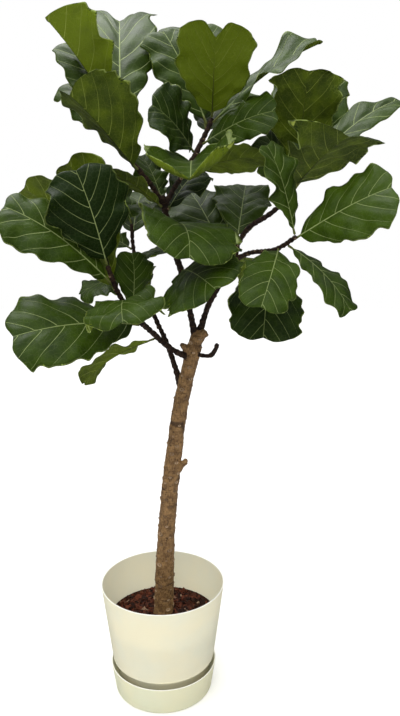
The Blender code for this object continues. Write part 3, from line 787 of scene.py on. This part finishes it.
finish(
    Base_Color=youth.blend(old, new),
    Roughness=0.68 + 0.2 * fissure,
    Normal=bump(paint, relief, 0.0022, 0.8),
)
show("trunk_and_limbs_bark", wood_mesh, bark_material, "bark", "trunk_and_limbs", sharp=0)

# ---------------------------------------------------------------- leaf scars
# Where a leaf has dropped, the bark keeps a pale raised oval with a corky rim, wider than it is high.
# They stand all up the trunk and, smaller and fewer, on the young limbs.

SCAR_WIDTH = 0.0135
SCAR_SPACING = 0.020
SCAR_DENSITY = 6000.0
SCARS_FROM = 0.205
SCAR_HEIGHT = 0.13
SCAR_SHOWING = 0.85
SCAR_PALE = (0.440, 0.310, 0.190)
SCAR_RIM = (0.120, 0.072, 0.038)

scar_material, paint, finish = new_material("leaf scar", Specular_IOR_Level=0.3)
tone = carried(paint, "tone")
rimmed = carried(paint, "rim")
place = object_place(paint)
cork = noise_at(paint, place, 600.0, 4.0, 0.65)
face_colour = (tone * 0.8 + cork * 0.5).rise(0.2, 1.0).blend(SCAR_RIM, SCAR_PALE)
finish(
    Base_Color=rimmed.rise(0.5, 1.0).blend(face_colour, SCAR_RIM),
    Roughness=0.7 + 0.2 * cork,
    Normal=bump(paint, cork, 0.0012, 0.8),
)

tree, wire, given, end = new_tree("leaf scars", {"Width": "Float", "Spacing": "Float", "Seed": "Int"})
height = wire.node("GeometryNodeInputPosition").parts()[2]
youth = wire.node("GeometryNodeInputNamedAttribute", {"data_type": "FLOAT"}, {"Name": "young"})
scatter_node = wire.tree.nodes.new("GeometryNodeDistributePointsOnFaces")
scatter_node.distribute_method = "POISSON"
tree.links.new(given["Geometry"].socket, scatter_node.inputs["Mesh"])
tree.links.new(given["Spacing"].socket, scatter_node.inputs["Distance Min"])
tree.links.new(given["Seed"].socket, scatter_node.inputs["Seed"])
scatter_node.inputs["Density Max"].default_value = SCAR_DENSITY
tree.links.new(((height > SCARS_FROM) * (1 - youth * 0.35)).socket, scatter_node.inputs["Density Factor"])
button = wire.node(
    "GeometryNodeMeshGrid", {}, {"Size X": 1.0, "Size Y": 1.0, "Vertices X": 8, "Vertices Y": 13}
)
# The grid is rolled into a closed oval button: its profile goes out from the middle, up into a rim and
# down below the bark, and back to the middle underneath.
u, v, unused = wire.node("GeometryNodeInputPosition").parts()
profile = (u + 0.5) / SCAR_SHOWING
out = profile.math("MINIMUM", 1.0) - (profile - 1).math("MAXIMUM", 0.0) / (1 / SCAR_SHOWING - 1)
turn = v * (2 * math.pi)
dish = SCAR_HEIGHT * (profile.rise(0.3, 0.62) - profile.rise(0.72, 1.0) * 1.9) - 0.02
spot = wire.vector(out * 0.5 * turn.math("COSINE"), out * 0.34 * turn.math("SINE"), dish)
button = keep(button, "rim", out, "POINT")
button = wire.node("GeometryNodeSetPosition", {}, {"Geometry": button, "Position": spot})
button = wire.node("GeometryNodeMergeByDistance", {}, {"Geometry": button, "Distance": 0.001})
normal_way = Wire(tree, scatter_node.outputs["Normal"])
upright = wire.node("FunctionNodeAlignRotationToVector", {"axis": "Z"}, {"Vector": normal_way})
level = wire.node(
    "FunctionNodeAlignRotationToVector",
    {"axis": "Y", "pivot_axis": "Z"},
    {"Rotation": upright, "Vector": (0.0, 0.0, 1.0)},
)
size = given["Width"] * (1 - youth * 0.45) * random_between(wire, 0.45, 1.2, 2)
stuck = wire.node(
    "GeometryNodeInstanceOnPoints",
    {},
    {
        "Points": Wire(tree, scatter_node.outputs["Points"]),
        "Instance": button,
        "Rotation": level,
        "Scale": wire.vector(size, size, size),
    },
)
end(keep(stuck, "tone", random_between(wire, 0.0, 1.0, 8), "INSTANCE"), scar_material)
scar_values = {"Width": SCAR_WIDTH, "Spacing": SCAR_SPACING, "Seed": 4}
scar_mesh = grown("leaf_scars", tree, scar_values, wood_mesh.copy())
show("leaf_scars", scar_mesh, scar_material, "bark", sharp=0)

# ---------------------------------------------------------------- leaves
# Leathery violin-shaped blades on short stout stalks: glossy dark green above, duller yellow-green
# beneath, quilted between pale veins, with wavy edges. Each grows from a limb, in a loose spiral.

# share: where on its limb the stalk leaves the wood, 0 being the limb's root and 1 its end.
# tip: where the leaf ends. faces: roughly where its upper side looks. width: of the blade.
# arch and droop: how steeply the midrib leaves and arrives, in degrees off its chord, the way that
# makes the upper side bulge. fold: how far each half tilts up from the midrib. curl: how far it has
# turned back down by the margin. notch: how deep the end is cleft, as a share of the length. wave: how
# high the edge ripples, in millimetres. tone: 0 for a dark old leaf, 1 for a light young one, and
# less than 0 for painted shade that darkens a leaf all over. horn: how far a corner stands out on each
# side near the end, as a share of the width there.
TRAITS = "share tip faces width arch droop fold curl notch wave tone horn"
Leaf = namedtuple("Leaf", TRAITS, defaults=(10, 30, 0.05, 6.5, 0.5, 0.10))

LEAVES = {
    ("leaf_left", "left_arm"): [
        # This leaf's tone below 0 is painted shade: its whole blade is darkened.
        Leaf(1.00, (-0.14, -0.19, 1.23), (0.4, -1.0, 0.1), 0.165, 10, 25, 8, 30, tone=-0.6, horn=0.0),
        Leaf(0.91, (-0.275, -0.20, 1.165), (-0.1, -0.7, 0.8), 0.125, 15, 25),
        Leaf(0.89, (-0.18, -0.05, 1.25), (0.5, 0.7, 0.2), 0.140, 5, 25),
        Leaf(0.85, (-0.26, -0.10, 1.20), (0.3, 0.8, 0.6), 0.130, 10, 25),
        Leaf(0.72, (-0.05, -0.08, 1.07), (0.5, -0.9, 0.2), 0.080, 10, 25, wave=3.0),
        Leaf(0.74, (-0.05, -0.28, 0.96), (-0.2, -0.3, 1.0), 0.150, 40, 45, wave=13.0, tone=0.6),
        Leaf(0.60, (-0.27, -0.21, 0.92), (0.0, -0.7, 0.7), 0.180, 15, 20),
        Leaf(0.42, (-0.16, -0.07, 0.79), (-0.3, 0.4, 0.9), 0.090, 15, 20, 20, 30),
    ],
    ("leaf_rear", "left_rear_arm"): [
        Leaf(0.72, (-0.19, 0.10, 0.96), (0.0, -0.2, 1.0), 0.130, 15, 20),
        Leaf(0.80, (-0.04, 0.03, 0.96), (0.3, 0.9, 0.3), 0.105, 20, 20),
        Leaf(0.86, (-0.21, 0.22, 1.10), (0.2, -0.3, 0.9), 0.140, 15, 25),
        Leaf(0.93, (-0.05, 0.32, 1.20), (-0.2, -0.3, 0.9), 0.140, 15, 25),
        Leaf(1.00, (-0.15, 0.20, 1.25), (0.6, -0.4, 0.3), 0.130, 15, 25),
    ],
    ("leaf_centre", "centre_arm"): [
        Leaf(0.48, (0.12, -0.20, 1.01), (-0.4, -0.5, 0.7), 0.185, 20, 25),
        Leaf(0.60, (-0.05, 0.07, 1.05), (-0.1, -0.2, 1.0), 0.110, 20, 20),
        Leaf(0.76, (0.07, -0.21, 1.07), (0.3, -0.3, 0.9), 0.20, 35, 50, 15, 10),
        Leaf(0.84, (-0.07, 0.04, 1.16), (0.0, -0.1, 1.0), 0.120, 20, 20),
        Leaf(0.90, (-0.10, -0.14, 1.23), (0.3, 0.5, 0.9), 0.075, 10, 20, 15, 30, wave=3.0),
        Leaf(0.97, (-0.04, 0.05, 1.27), (0.6, -0.8, 0.2), 0.090, 10, 20),
        Leaf(0.86, (0.09, 0.07, 1.24), (-0.3, -0.9, 0.3), 0.090, 20, 20, tone=0.0),
    ],
    ("leaf_top_left", "top_left_shoot"): [
        Leaf(
            1.00, (-0.205, -0.09, 1.515), (0.7, 0.6, 0.4), 0.15, 5, 10, 40, 15,
            notch=0.0, wave=6.0, tone=0.9, horn=0.15,
        ),
        Leaf(0.90, (-0.19, 0.052, 1.50), (0.4, -0.9, 0.2), 0.092, 5, 15, wave=2.0),
        Leaf(
            0.94, (-0.092, 0.18, 1.57), (0.1, -1.0, 0.0), 0.163, 10, 20, 15, 30,
            notch=0.30, wave=4.0, tone=0.5, horn=0.25,
        ),
        Leaf(0.42, (-0.157, -0.13, 1.37), (0.45, 0.75, 0.4), 0.19, 0, 10, 38, 10, tone=0.2),
        Leaf(0.72, (-0.20, 0.07, 1.42), (0.5, -0.8, 0.3), 0.095, 5, 15),
    ],
    ("leaf_top", "top_centre_shoot"): [
        Leaf(
            1.00, (0.12, -0.09, 1.48), (0.0, 1.0, 0.8), 0.155, 0, 10, 5, 20,
            notch=0.22, wave=3.0, tone=1.0, horn=0.05,
        ),
        Leaf(0.95, (0.33, 0.00, 1.485), (-0.5, -0.4, 0.8), 0.125, 10, 15, 20, 30, wave=8.0),
        Leaf(0.91, (0.01, 0.09, 1.53), (0.3, -1.0, 0.2), 0.13, 10, 20),
        Leaf(0.87, (0.06, 0.20, 1.56), (0.1, -0.9, 0.4), 0.16, 10, 20),
        Leaf(0.60, (-0.005, -0.07, 1.36), (0.6, -0.6, 0.4), 0.14, 10, 20, 20, 20, tone=0.2),
        Leaf(0.52, (0.07, -0.20, 1.215), (-0.1, 0.1, 1.0), 0.22, 10, -20, 15, -50, tone=0.7),
        Leaf(0.46, (0.22, -0.09, 1.26), (-0.2, 0.6, 0.8), 0.12, 5, 10, wave=3.0),
        Leaf(0.70, (0.24, -0.06, 1.35), (-0.3, -0.8, 0.6), 0.11, 10, 20, 15, 30, wave=2.0),
        Leaf(0.80, (0.17, 0.23, 1.42), (-0.2, -0.6, 0.7), 0.15, 15, 20),
    ],
    ("leaf_right", "right_arm"): [
        Leaf(0.97, (0.20, 0.20, 1.21), (0.0, -0.8, 0.7), 0.14, 10, 20),
        Leaf(0.70, (0.06, 0.21, 1.20), (0.1, -0.8, 0.7), 0.16, 10, 20),
        Leaf(0.80, (0.27, 0.22, 0.92), (0.2, 0.2, 0.9), 0.14, 25, 25),
        Leaf(0.60, (0.11, 0.21, 1.07), (0.0, -0.4, 0.9), 0.13, 20, 20, wave=4.0),
    ],
    ("leaf_top_right", "top_right_shoot"): [
        Leaf(1.00, (0.31, -0.03, 1.43), (-0.1, 1.0, 0.3), 0.145, 5, 15, wave=7.0, tone=0.2, horn=0.45),
        Leaf(
            0.90, (0.375, -0.13, 1.295), (-0.2, 0.7, 0.7), 0.165, 5, 10, 15, 20,
            notch=0.06, wave=8.0, tone=0.1, horn=0.45,
        ),
        Leaf(0.84, (0.23, 0.02, 1.31), (0.4, -0.8, 0.4), 0.13, 10, 20, wave=2.0),
        Leaf(0.95, (0.355, 0.20, 1.455), (0.0, -0.9, 0.5), 0.19, 10, 20),
        Leaf(0.86, (0.515, 0.05, 1.385), (-0.4, -0.5, 0.8), 0.10, 15, 25, 15, 30),
    ],
    ("leaf_low_right", "low_right_shoot"): [
        Leaf(1.00, (0.22, -0.12, 1.28), (0.7, -0.7, 0.1), 0.09, 5, 15, 20, 30),
        Leaf(0.94, (0.45, -0.18, 1.20), (-0.3, -0.8, 0.6), 0.15, 5, 15, tone=0.7),
        Leaf(0.84, (0.39, -0.15, 0.96), (0.6, -0.6, 0.5), 0.09, 15, 20),
        Leaf(0.72, (0.205, -0.23, 0.98), (0.1, -0.8, 0.6), 0.115, 20, 20, tone=0.6),
        Leaf(0.58, (0.22, -0.12, 0.90), (0.0, -1.0, 0.2), 0.155, 15, 10, tone=0.2),
    ],
}

BLADE_THICKNESS = 0.0007
STALK_RADIUS = 0.0021
STALK_SHARE = 0.06
STALK_SINK = 0.0005
WIDEST_AT = 0.66
EAR_AT = 0.09
EAR_SIZE = 0.13
CORNER_AT = 0.87
FIRST_VEIN = 0.09
VEIN_SPACING = 0.180
VEIN_STAGGER = 0.16
QUILT_DEPTH = 0.012
LEAF_STEPS = 64
STALK_STEPS = 0.1  # the share of the leaf's steps that its stalk takes
ROUND_STEPS = 64
LEAF_GREEN = (0.044, 0.082, 0.0030)
LEAF_DEEP = (0.0070, 0.0190, 0.0005)
LEAF_VEIN = (0.330, 0.400, 0.150)
BENEATH = (0.105, 0.150, 0.0003)
BENEATH_DEEP = (0.034, 0.056, 0.0001)
BENEATH_VEIN = (0.300, 0.360, 0.060)
BENEATH_RIB = (0.030, 0.030, 0.0080)
LEAF_RIM = (0.300, 0.380, 0.100)
STALK_GREEN = (0.110, 0.125, 0.030)


def vein_phase(share, aside):
    """A whole number on each side vein. Share runs along the blade, and aside across, in blade lengths."""
    return (share - 0.70 * aside - 1.3 * aside * aside - FIRST_VEIN) / VEIN_SPACING


tree, wire, given, end = new_tree(
    "fiddle leaf",
    {
        "Start": "Vector",
        "Second": "Vector",
        "Third": "Vector",
        "Tip": "Vector",
        "Side": "Vector",
        "Width": "Float",
        "Fold": "Float",
        "Curl": "Float",
        "Notch": "Float",
        "Horn": "Float",
        "Wave": "Float",
        "Tone": "Float",
        "Seed": "Float",
    },
)
u, v, unused = wire.node("GeometryNodeInputPosition").parts()
step_along = u + 0.5
step_round = v + 0.5
past_stalk = (step_along - STALK_STEPS).math("MAXIMUM", 0.0) / (1 - STALK_STEPS)
blade = 1 - (1 - past_stalk) ** 1.4
share = (step_along / STALK_STEPS).math("MINIMUM", 1.0) * STALK_SHARE + blade * (1 - STALK_SHARE)
across = abs(step_round * 4 - 2) - 1
reach = abs(across).math("MINIMUM", 1.0) ** 1.3
hand = across.math("SIGN")
above = 1 - 2 * (step_round > 0.5)

# The outline: eared base, waist, broad round end, with a slightly uneven edge.
rising = ((blade / WIDEST_AT).math("MINIMUM", 1.0) * (0.5 * math.pi)).math("SINE") ** 0.95
ears = (-(((blade - EAR_AT) / 0.07) ** 2)).math("EXPONENT") * EAR_SIZE
ears = ears * (1 - (blade / -0.02).math("EXPONENT"))
beyond = (blade - WIDEST_AT).math("MAXIMUM", 0.0) / (1 - WIDEST_AT)
outline = (rising + ears) * (1 - beyond**2.8).math("MAXIMUM", 0.0) ** 0.5
phase = given["Seed"] * 2.4 + hand * 0.9
leaf_length = (given["Tip"] - given["Start"]).math("LENGTH")
margin_veins = vein_phase(blade, given["Width"] * 0.5 * outline / leaf_length) + hand * VEIN_STAGGER
scallop = 0.5 - abs((margin_veins * math.pi).math("SINE"))
edge_place = wire.vector(blade * 5.5, hand * 2.0, given["Seed"] * 3.7)
edge_noise = noise_at(wire, edge_place, 1.0, 1.0) - 0.5
swing = wire.node("ShaderNodeTexNoise", {}, {"Vector": edge_place, "Scale": 0.8, "Detail": 1.0}, 1)
swing = swing.parts()[1] - 0.5
corner = blade - CORNER_AT - 0.04 * (phase * 1.9).math("SINE")
corner = (-((corner / 0.035) ** 2)).math("EXPONENT")
uneven = 1 + 0.05 * scallop + 0.75 * edge_noise * blade.rise(0.05, 0.3) + given["Horn"] * corner
half_width = given["Width"] * 0.5 * outline * uneven
aside = reach * half_width / leaf_length

# The cleft end: what lies off the midrib runs on past its tip.
lobe = (1 - (-((aside / 0.085) ** 2)).math("EXPONENT")) * blade.rise(0.5, 0.97)
run = share + given["Notch"] * lobe
rest = 1 - run
centre = (
    given["Start"] * rest**3
    + given["Second"] * (3 * rest**2 * run)
    + given["Third"] * (3 * rest * run**2)
    + given["Tip"] * run**3
)
way = (
    (given["Second"] - given["Start"]) * rest**2
    + (given["Third"] - given["Second"]) * (2 * rest * run)
    + (given["Tip"] - given["Third"]) * run**2
)
up = way.math("NORMALIZE").math("CROSS_PRODUCT", given["Side"])

# Each half blade is a shallow arc, quilted between its side veins and rippled along its edge. All that
# lifts the two skins apart fades out at the margin and at the very tip, so that the leaf is closed.
start_angle = given["Fold"]
now = start_angle - given["Curl"] * reach
out = (start_angle.math("SINE") - now.math("SINE")) / given["Curl"]
lifted = (now.math("COSINE") - start_angle.math("COSINE")) / given["Curl"]
veins = vein_phase(blade, aside) + hand * VEIN_STAGGER
quilt = (veins * math.pi).math("SINE") ** 2 * reach.rise(0.02, 0.25) * blade.rise(0.08, 0.25)
closing = 1 - blade**24
quilt = quilt * leaf_length * QUILT_DEPTH * (1 - 0.5 * reach) * closing
ripple = 0.8 * (blade * 15.0 + phase).math("SINE") + 0.5 * (blade * 27.0 + phase * 1.7).math("SINE")
ripple = (ripple + 9.0 * swing) * reach**2 * given["Wave"] * blade.rise(0.02, 0.3) * closing
solid = (1 - reach**5).math("MAXIMUM", 0.0) ** 0.5 * closing
from_rib = reach * half_width
rib = (-((from_rib / (0.0024 - 0.0016 * blade)) ** 2)).math("EXPONENT")
rib = rib * (0.0026 * (1 - blade) + 0.0002) * (0.62 - 0.38 * above)
lift = lifted * half_width + quilt + ripple + above * solid * (BLADE_THICKNESS * 0.5 + rib)
blade_place = centre + given["Side"] * (hand * out * half_width) + up * lift

# The stalk: a round bar that swells where it joins the bark.
turn = step_round * (2 * math.pi)
stalk_radius = STALK_RADIUS * (step_along / 0.02).math("MINIMUM", 1.0) ** 0.5 * (1.35 - 3.2 * step_along)
stalk_radius = stalk_radius * step_along.rise(0.0, 0.012)
stalk_place = (
    centre
    + given["Side"] * (turn.math("COSINE") * stalk_radius)
    + up * (turn.math("SINE") * stalk_radius)
)
opening = blade.rise(0.0, 0.035)
place = stalk_place + (blade_place - stalk_place) * opening
on_faces = {"domain": "FACE", "data_type": "FLOAT"}
face_round = wire.node("GeometryNodeFieldOnDomain", on_faces, {0: step_round})
sheet = wire.node(
    "GeometryNodeMeshGrid",
    {},
    {"Size X": 1.0, "Size Y": 1.0, "Vertices X": LEAF_STEPS + 1, "Vertices Y": ROUND_STEPS + 1},
)
kind = wire.vector(hand, face_round > 0.5, given["Tone"])
sheet = keep(sheet, "blade", wire.vector(blade, aside, reach), "CORNER", "FLOAT_VECTOR")
sheet = keep(sheet, "kind", kind, "CORNER", "FLOAT_VECTOR")
sheet = wire.node("GeometryNodeSetPosition", {}, {"Geometry": sheet, "Position": place})
sheet = wire.node("GeometryNodeMergeByDistance", {}, {"Geometry": sheet, "Distance": 0.00001})
sheet = wire.node("GeometryNodeFlipFaces", {}, {"Mesh": sheet})

leaf_material, paint, finish = new_material("leaf", Specular_IOR_Level=0.25)
share, aside, reach = carried(paint, "blade", 1).parts()
hand, beneath, tone = carried(paint, "kind", 1).parts()
place = object_place(paint)
blotch = noise_at(paint, place, 28.0, 4.0)
speck = noise_at(paint, place, 420.0, 3.0)
across_veins = vein_phase(share, aside) + hand * VEIN_STAGGER
side_vein = abs(across_veins - across_veins.math("ROUND")) * (VEIN_SPACING * 0.78)
side_width = 0.0044 - 0.009 * aside
on_blade = share.rise(0.05, 0.09) * reach.rise(0.99, 0.9)
side_mark = (side_vein / side_width).rise(1.0, 0.35) * on_blade
rib_mark = (aside / (0.0085 - 0.0062 * share)).rise(1.0, 0.5)
net_sockets = {"Vector": paint.vector(share, aside * hand, tone), "Scale": 26.0}
net = paint.node("ShaderNodeTexVoronoi", {"feature": "DISTANCE_TO_EDGE"}, net_sockets)
net_mark = net.rise(0.07, 0.0) * on_blade
edge_mark = reach.rise(0.955, 0.985)

# A tone below 0 paints shade: it pulls the blade to LEAF_DEEP above and towards BENEATH_DEEP beneath.
green = (blotch * 0.6 + tone * 0.55 - 0.1).rise(0.15, 0.8).blend(LEAF_DEEP, LEAF_GREEN)
green = (net_mark * 0.04).blend(green, LEAF_VEIN)
green = (side_mark.math("MAXIMUM", rib_mark) * 0.72).blend(green, LEAF_VEIN)
olive = (blotch * 0.9 + tone * 0.5 - 0.2).rise(0.15, 0.75).blend(BENEATH_DEEP, BENEATH)
olive = (net_mark * 0.15).blend(olive, BENEATH_VEIN)
olive = (side_mark * 0.85).blend(olive, BENEATH_VEIN)
olive = (rib_mark * share.rise(0.95, 0.3) * 0.85).blend(olive, BENEATH_RIB)
colour = beneath.blend(green, olive)
colour = (edge_mark * (0.45 + 0.4 * beneath)).blend(colour, LEAF_RIM)
colour = share.rise(0.03, 0.0).blend(colour, STALK_GREEN)
upper_relief = -(side_mark * 0.7 + net_mark * 0.3) + rib_mark * 0.4 + speck * 0.12
under_relief = side_mark * 1.2 + net_mark * 0.5 + speck * 0.2
finish(
    Base_Color=colour,
    Roughness=0.34 + 0.12 * blotch + 0.22 * beneath + 0.08 * speck,
    Normal=bump(paint, upper_relief + (under_relief - upper_relief) * beneath, 0.0009, 0.9),
)
end(sheet, leaf_material)


def stalk_start(limb, leaf):
    """Where the stalk's middle meets the bark, half a millimetre in at a side and out at an end."""
    path = smooth_path(LIMBS[limb], 2 * (len(LIMBS[limb]) - 1))
    place = leaf.share * (len(path) - 1)
    k = min(int(place), len(path) - 2)
    row = path[k] + (path[k + 1] - path[k]) * (place - k)
    along = unit(path[k + 1, :3] - path[k, :3])
    way = unit(np.array(leaf.tip) - row[:3])
    out = way - along * np.dot(way, along)
    sideways = np.linalg.norm(out)
    if leaf.share < 1.0 or sideways > 0.8:
        return row[:3] + unit(out) * (row[3] - STALK_SINK)
    return row[:3] + along * STALK_SINK


def leaf_values(limb, leaf, seed):
    """The tree's inputs for one leaf: its midrib as a Bezier curve, its side way and its looks."""
    start = stalk_start(limb, leaf)
    end_at = np.array(leaf.tip, float)
    chord = end_at - start
    span = np.linalg.norm(chord)
    along = chord / span
    faces = np.array(leaf.faces, float)
    upper = unit(faces - along * np.dot(faces, along))
    rise, fall = math.radians(leaf.arch), math.radians(leaf.droop)
    pull = 0.36 * span
    second = start + pull * (along * math.cos(rise) + upper * math.sin(rise))
    third = end_at - pull * (along * math.cos(fall) - upper * math.sin(fall))
    side = np.cross(upper, along)
    vectors = {"Start": start, "Second": second, "Third": third, "Tip": end_at, "Side": side}
    return {
        **{name: [float(c) for c in vector] for name, vector in vectors.items()},
        "Width": leaf.width,
        "Fold": math.radians(leaf.fold),
        "Curl": math.radians(leaf.curl),
        "Notch": leaf.notch,
        "Horn": leaf.horn,
        "Wave": leaf.wave / 1000,
        "Tone": leaf.tone,
        "Seed": float(seed),
    }


leaf_seed = 0
for (name, limb), leaves in LEAVES.items():
    for number, leaf in enumerate(leaves, start=1):
        leaf_seed += 1
        node = f"{name}_{number:02d}"
        leaf_mesh = grown(f"{node}_blade", tree, leaf_values(limb, leaf, leaf_seed))
        show(f"{node}_blade", leaf_mesh, leaf_material, "leaf", node, sharp=0)

# ---------------------------------------------------------------- studio
# A pale floor under even soft daylight, with one wide lamp overhead that puts a sheen on the leaves and
# one in front.

LAMP_AIM = (0.05, 0.0, 0.7)
LAMP_WIDTH = 1.8
CAMERA_PLACE = (0.09, -1.533, 1.181)
CAMERA_DIP = 12.9
CAMERA_LENS = 35.2

floor_material, paint, finish = new_material(
    "pale floor",
    Base_Color=(0.92, 0.92, 0.91, 1.0),
    Roughness=0.8,
    Emission_Color=(1.0, 1.0, 1.0, 1.0),
    Emission_Strength=0.09,
)
floor_mesh = bpy.data.meshes.new("floor")
floor_mesh.from_pydata([(-6, -6, 0), (6, -6, 0), (6, 6, 0), (-6, 6, 0)], [], [(0, 1, 2, 3)])
floor_mesh.materials.append(floor_material)
floor = new_object("floor", floor_mesh)
floor.visible_glossy = False


def soft_light(name, place, power, shiny):
    """A round soft lamp, aimed at the plant's middle."""
    lamp = bpy.data.lights.new(name, "AREA")
    lamp.shape = "DISK"
    lamp.size = LAMP_WIDTH
    lamp.energy = power
    holder = new_object(name, lamp)
    holder.location = place
    holder.rotation_euler = (Vector(LAMP_AIM) - Vector(place)).to_track_quat("-Z", "Y").to_euler()
    holder.visible_glossy = shiny


soft_light("overhead", (-0.5, 0.5, 3.0), 34, shiny=True)
soft_light("front", (-0.1, -2.9, 2.7), 18, shiny=False)
daylight = bpy.data.lights.new("daylight", "SUN")
daylight.energy = 1.2
daylight.angle = math.radians(60)
daylight_holder = new_object("daylight", daylight)
daylight_holder.rotation_euler = (math.radians(38), 0.0, math.radians(-14))
daylight_holder.visible_glossy = False

world = bpy.data.worlds.new("studio")
world.use_nodes = True
bpy.context.scene.world = world
sky = Wire(world.node_tree)
upward = sky.node("ShaderNodeTexCoord").parts()[2]
seen = sky.node("ShaderNodeBackground", {}, {"Color": (1.0, 1.0, 1.0, 1.0), "Strength": 1.0})
lit = sky.node("ShaderNodeBackground", {}, {"Strength": 0.26 + 1.15 * upward.rise(0.1, 0.9)})
mirrored = sky.node("ShaderNodeBackground", {}, {"Strength": 0.03 + 0.9 * upward.rise(0.25, 0.95)})
to_camera = sky.node("ShaderNodeLightPath")
to_gloss = sky.node("ShaderNodeLightPath", output=3)
mixed = sky.node("ShaderNodeMixShader", {}, {0: to_gloss, 1: lit, 2: mirrored})
mixed = sky.node("ShaderNodeMixShader", {}, {0: to_camera, 1: mixed, 2: seen})
world.node_tree.links.new(mixed.socket, world.node_tree.nodes["World Output"].inputs[0])

lens = bpy.data.cameras.new("camera")
lens.sensor_width = 36.0
lens.lens = CAMERA_LENS
camera = new_object("camera", lens)
camera.location = CAMERA_PLACE
camera.rotation_euler = (math.radians(90 - CAMERA_DIP), 0.0, 0.0)
bpy.context.scene.camera = camera
bpy.context.scene.view_settings.view_transform = "Standard"
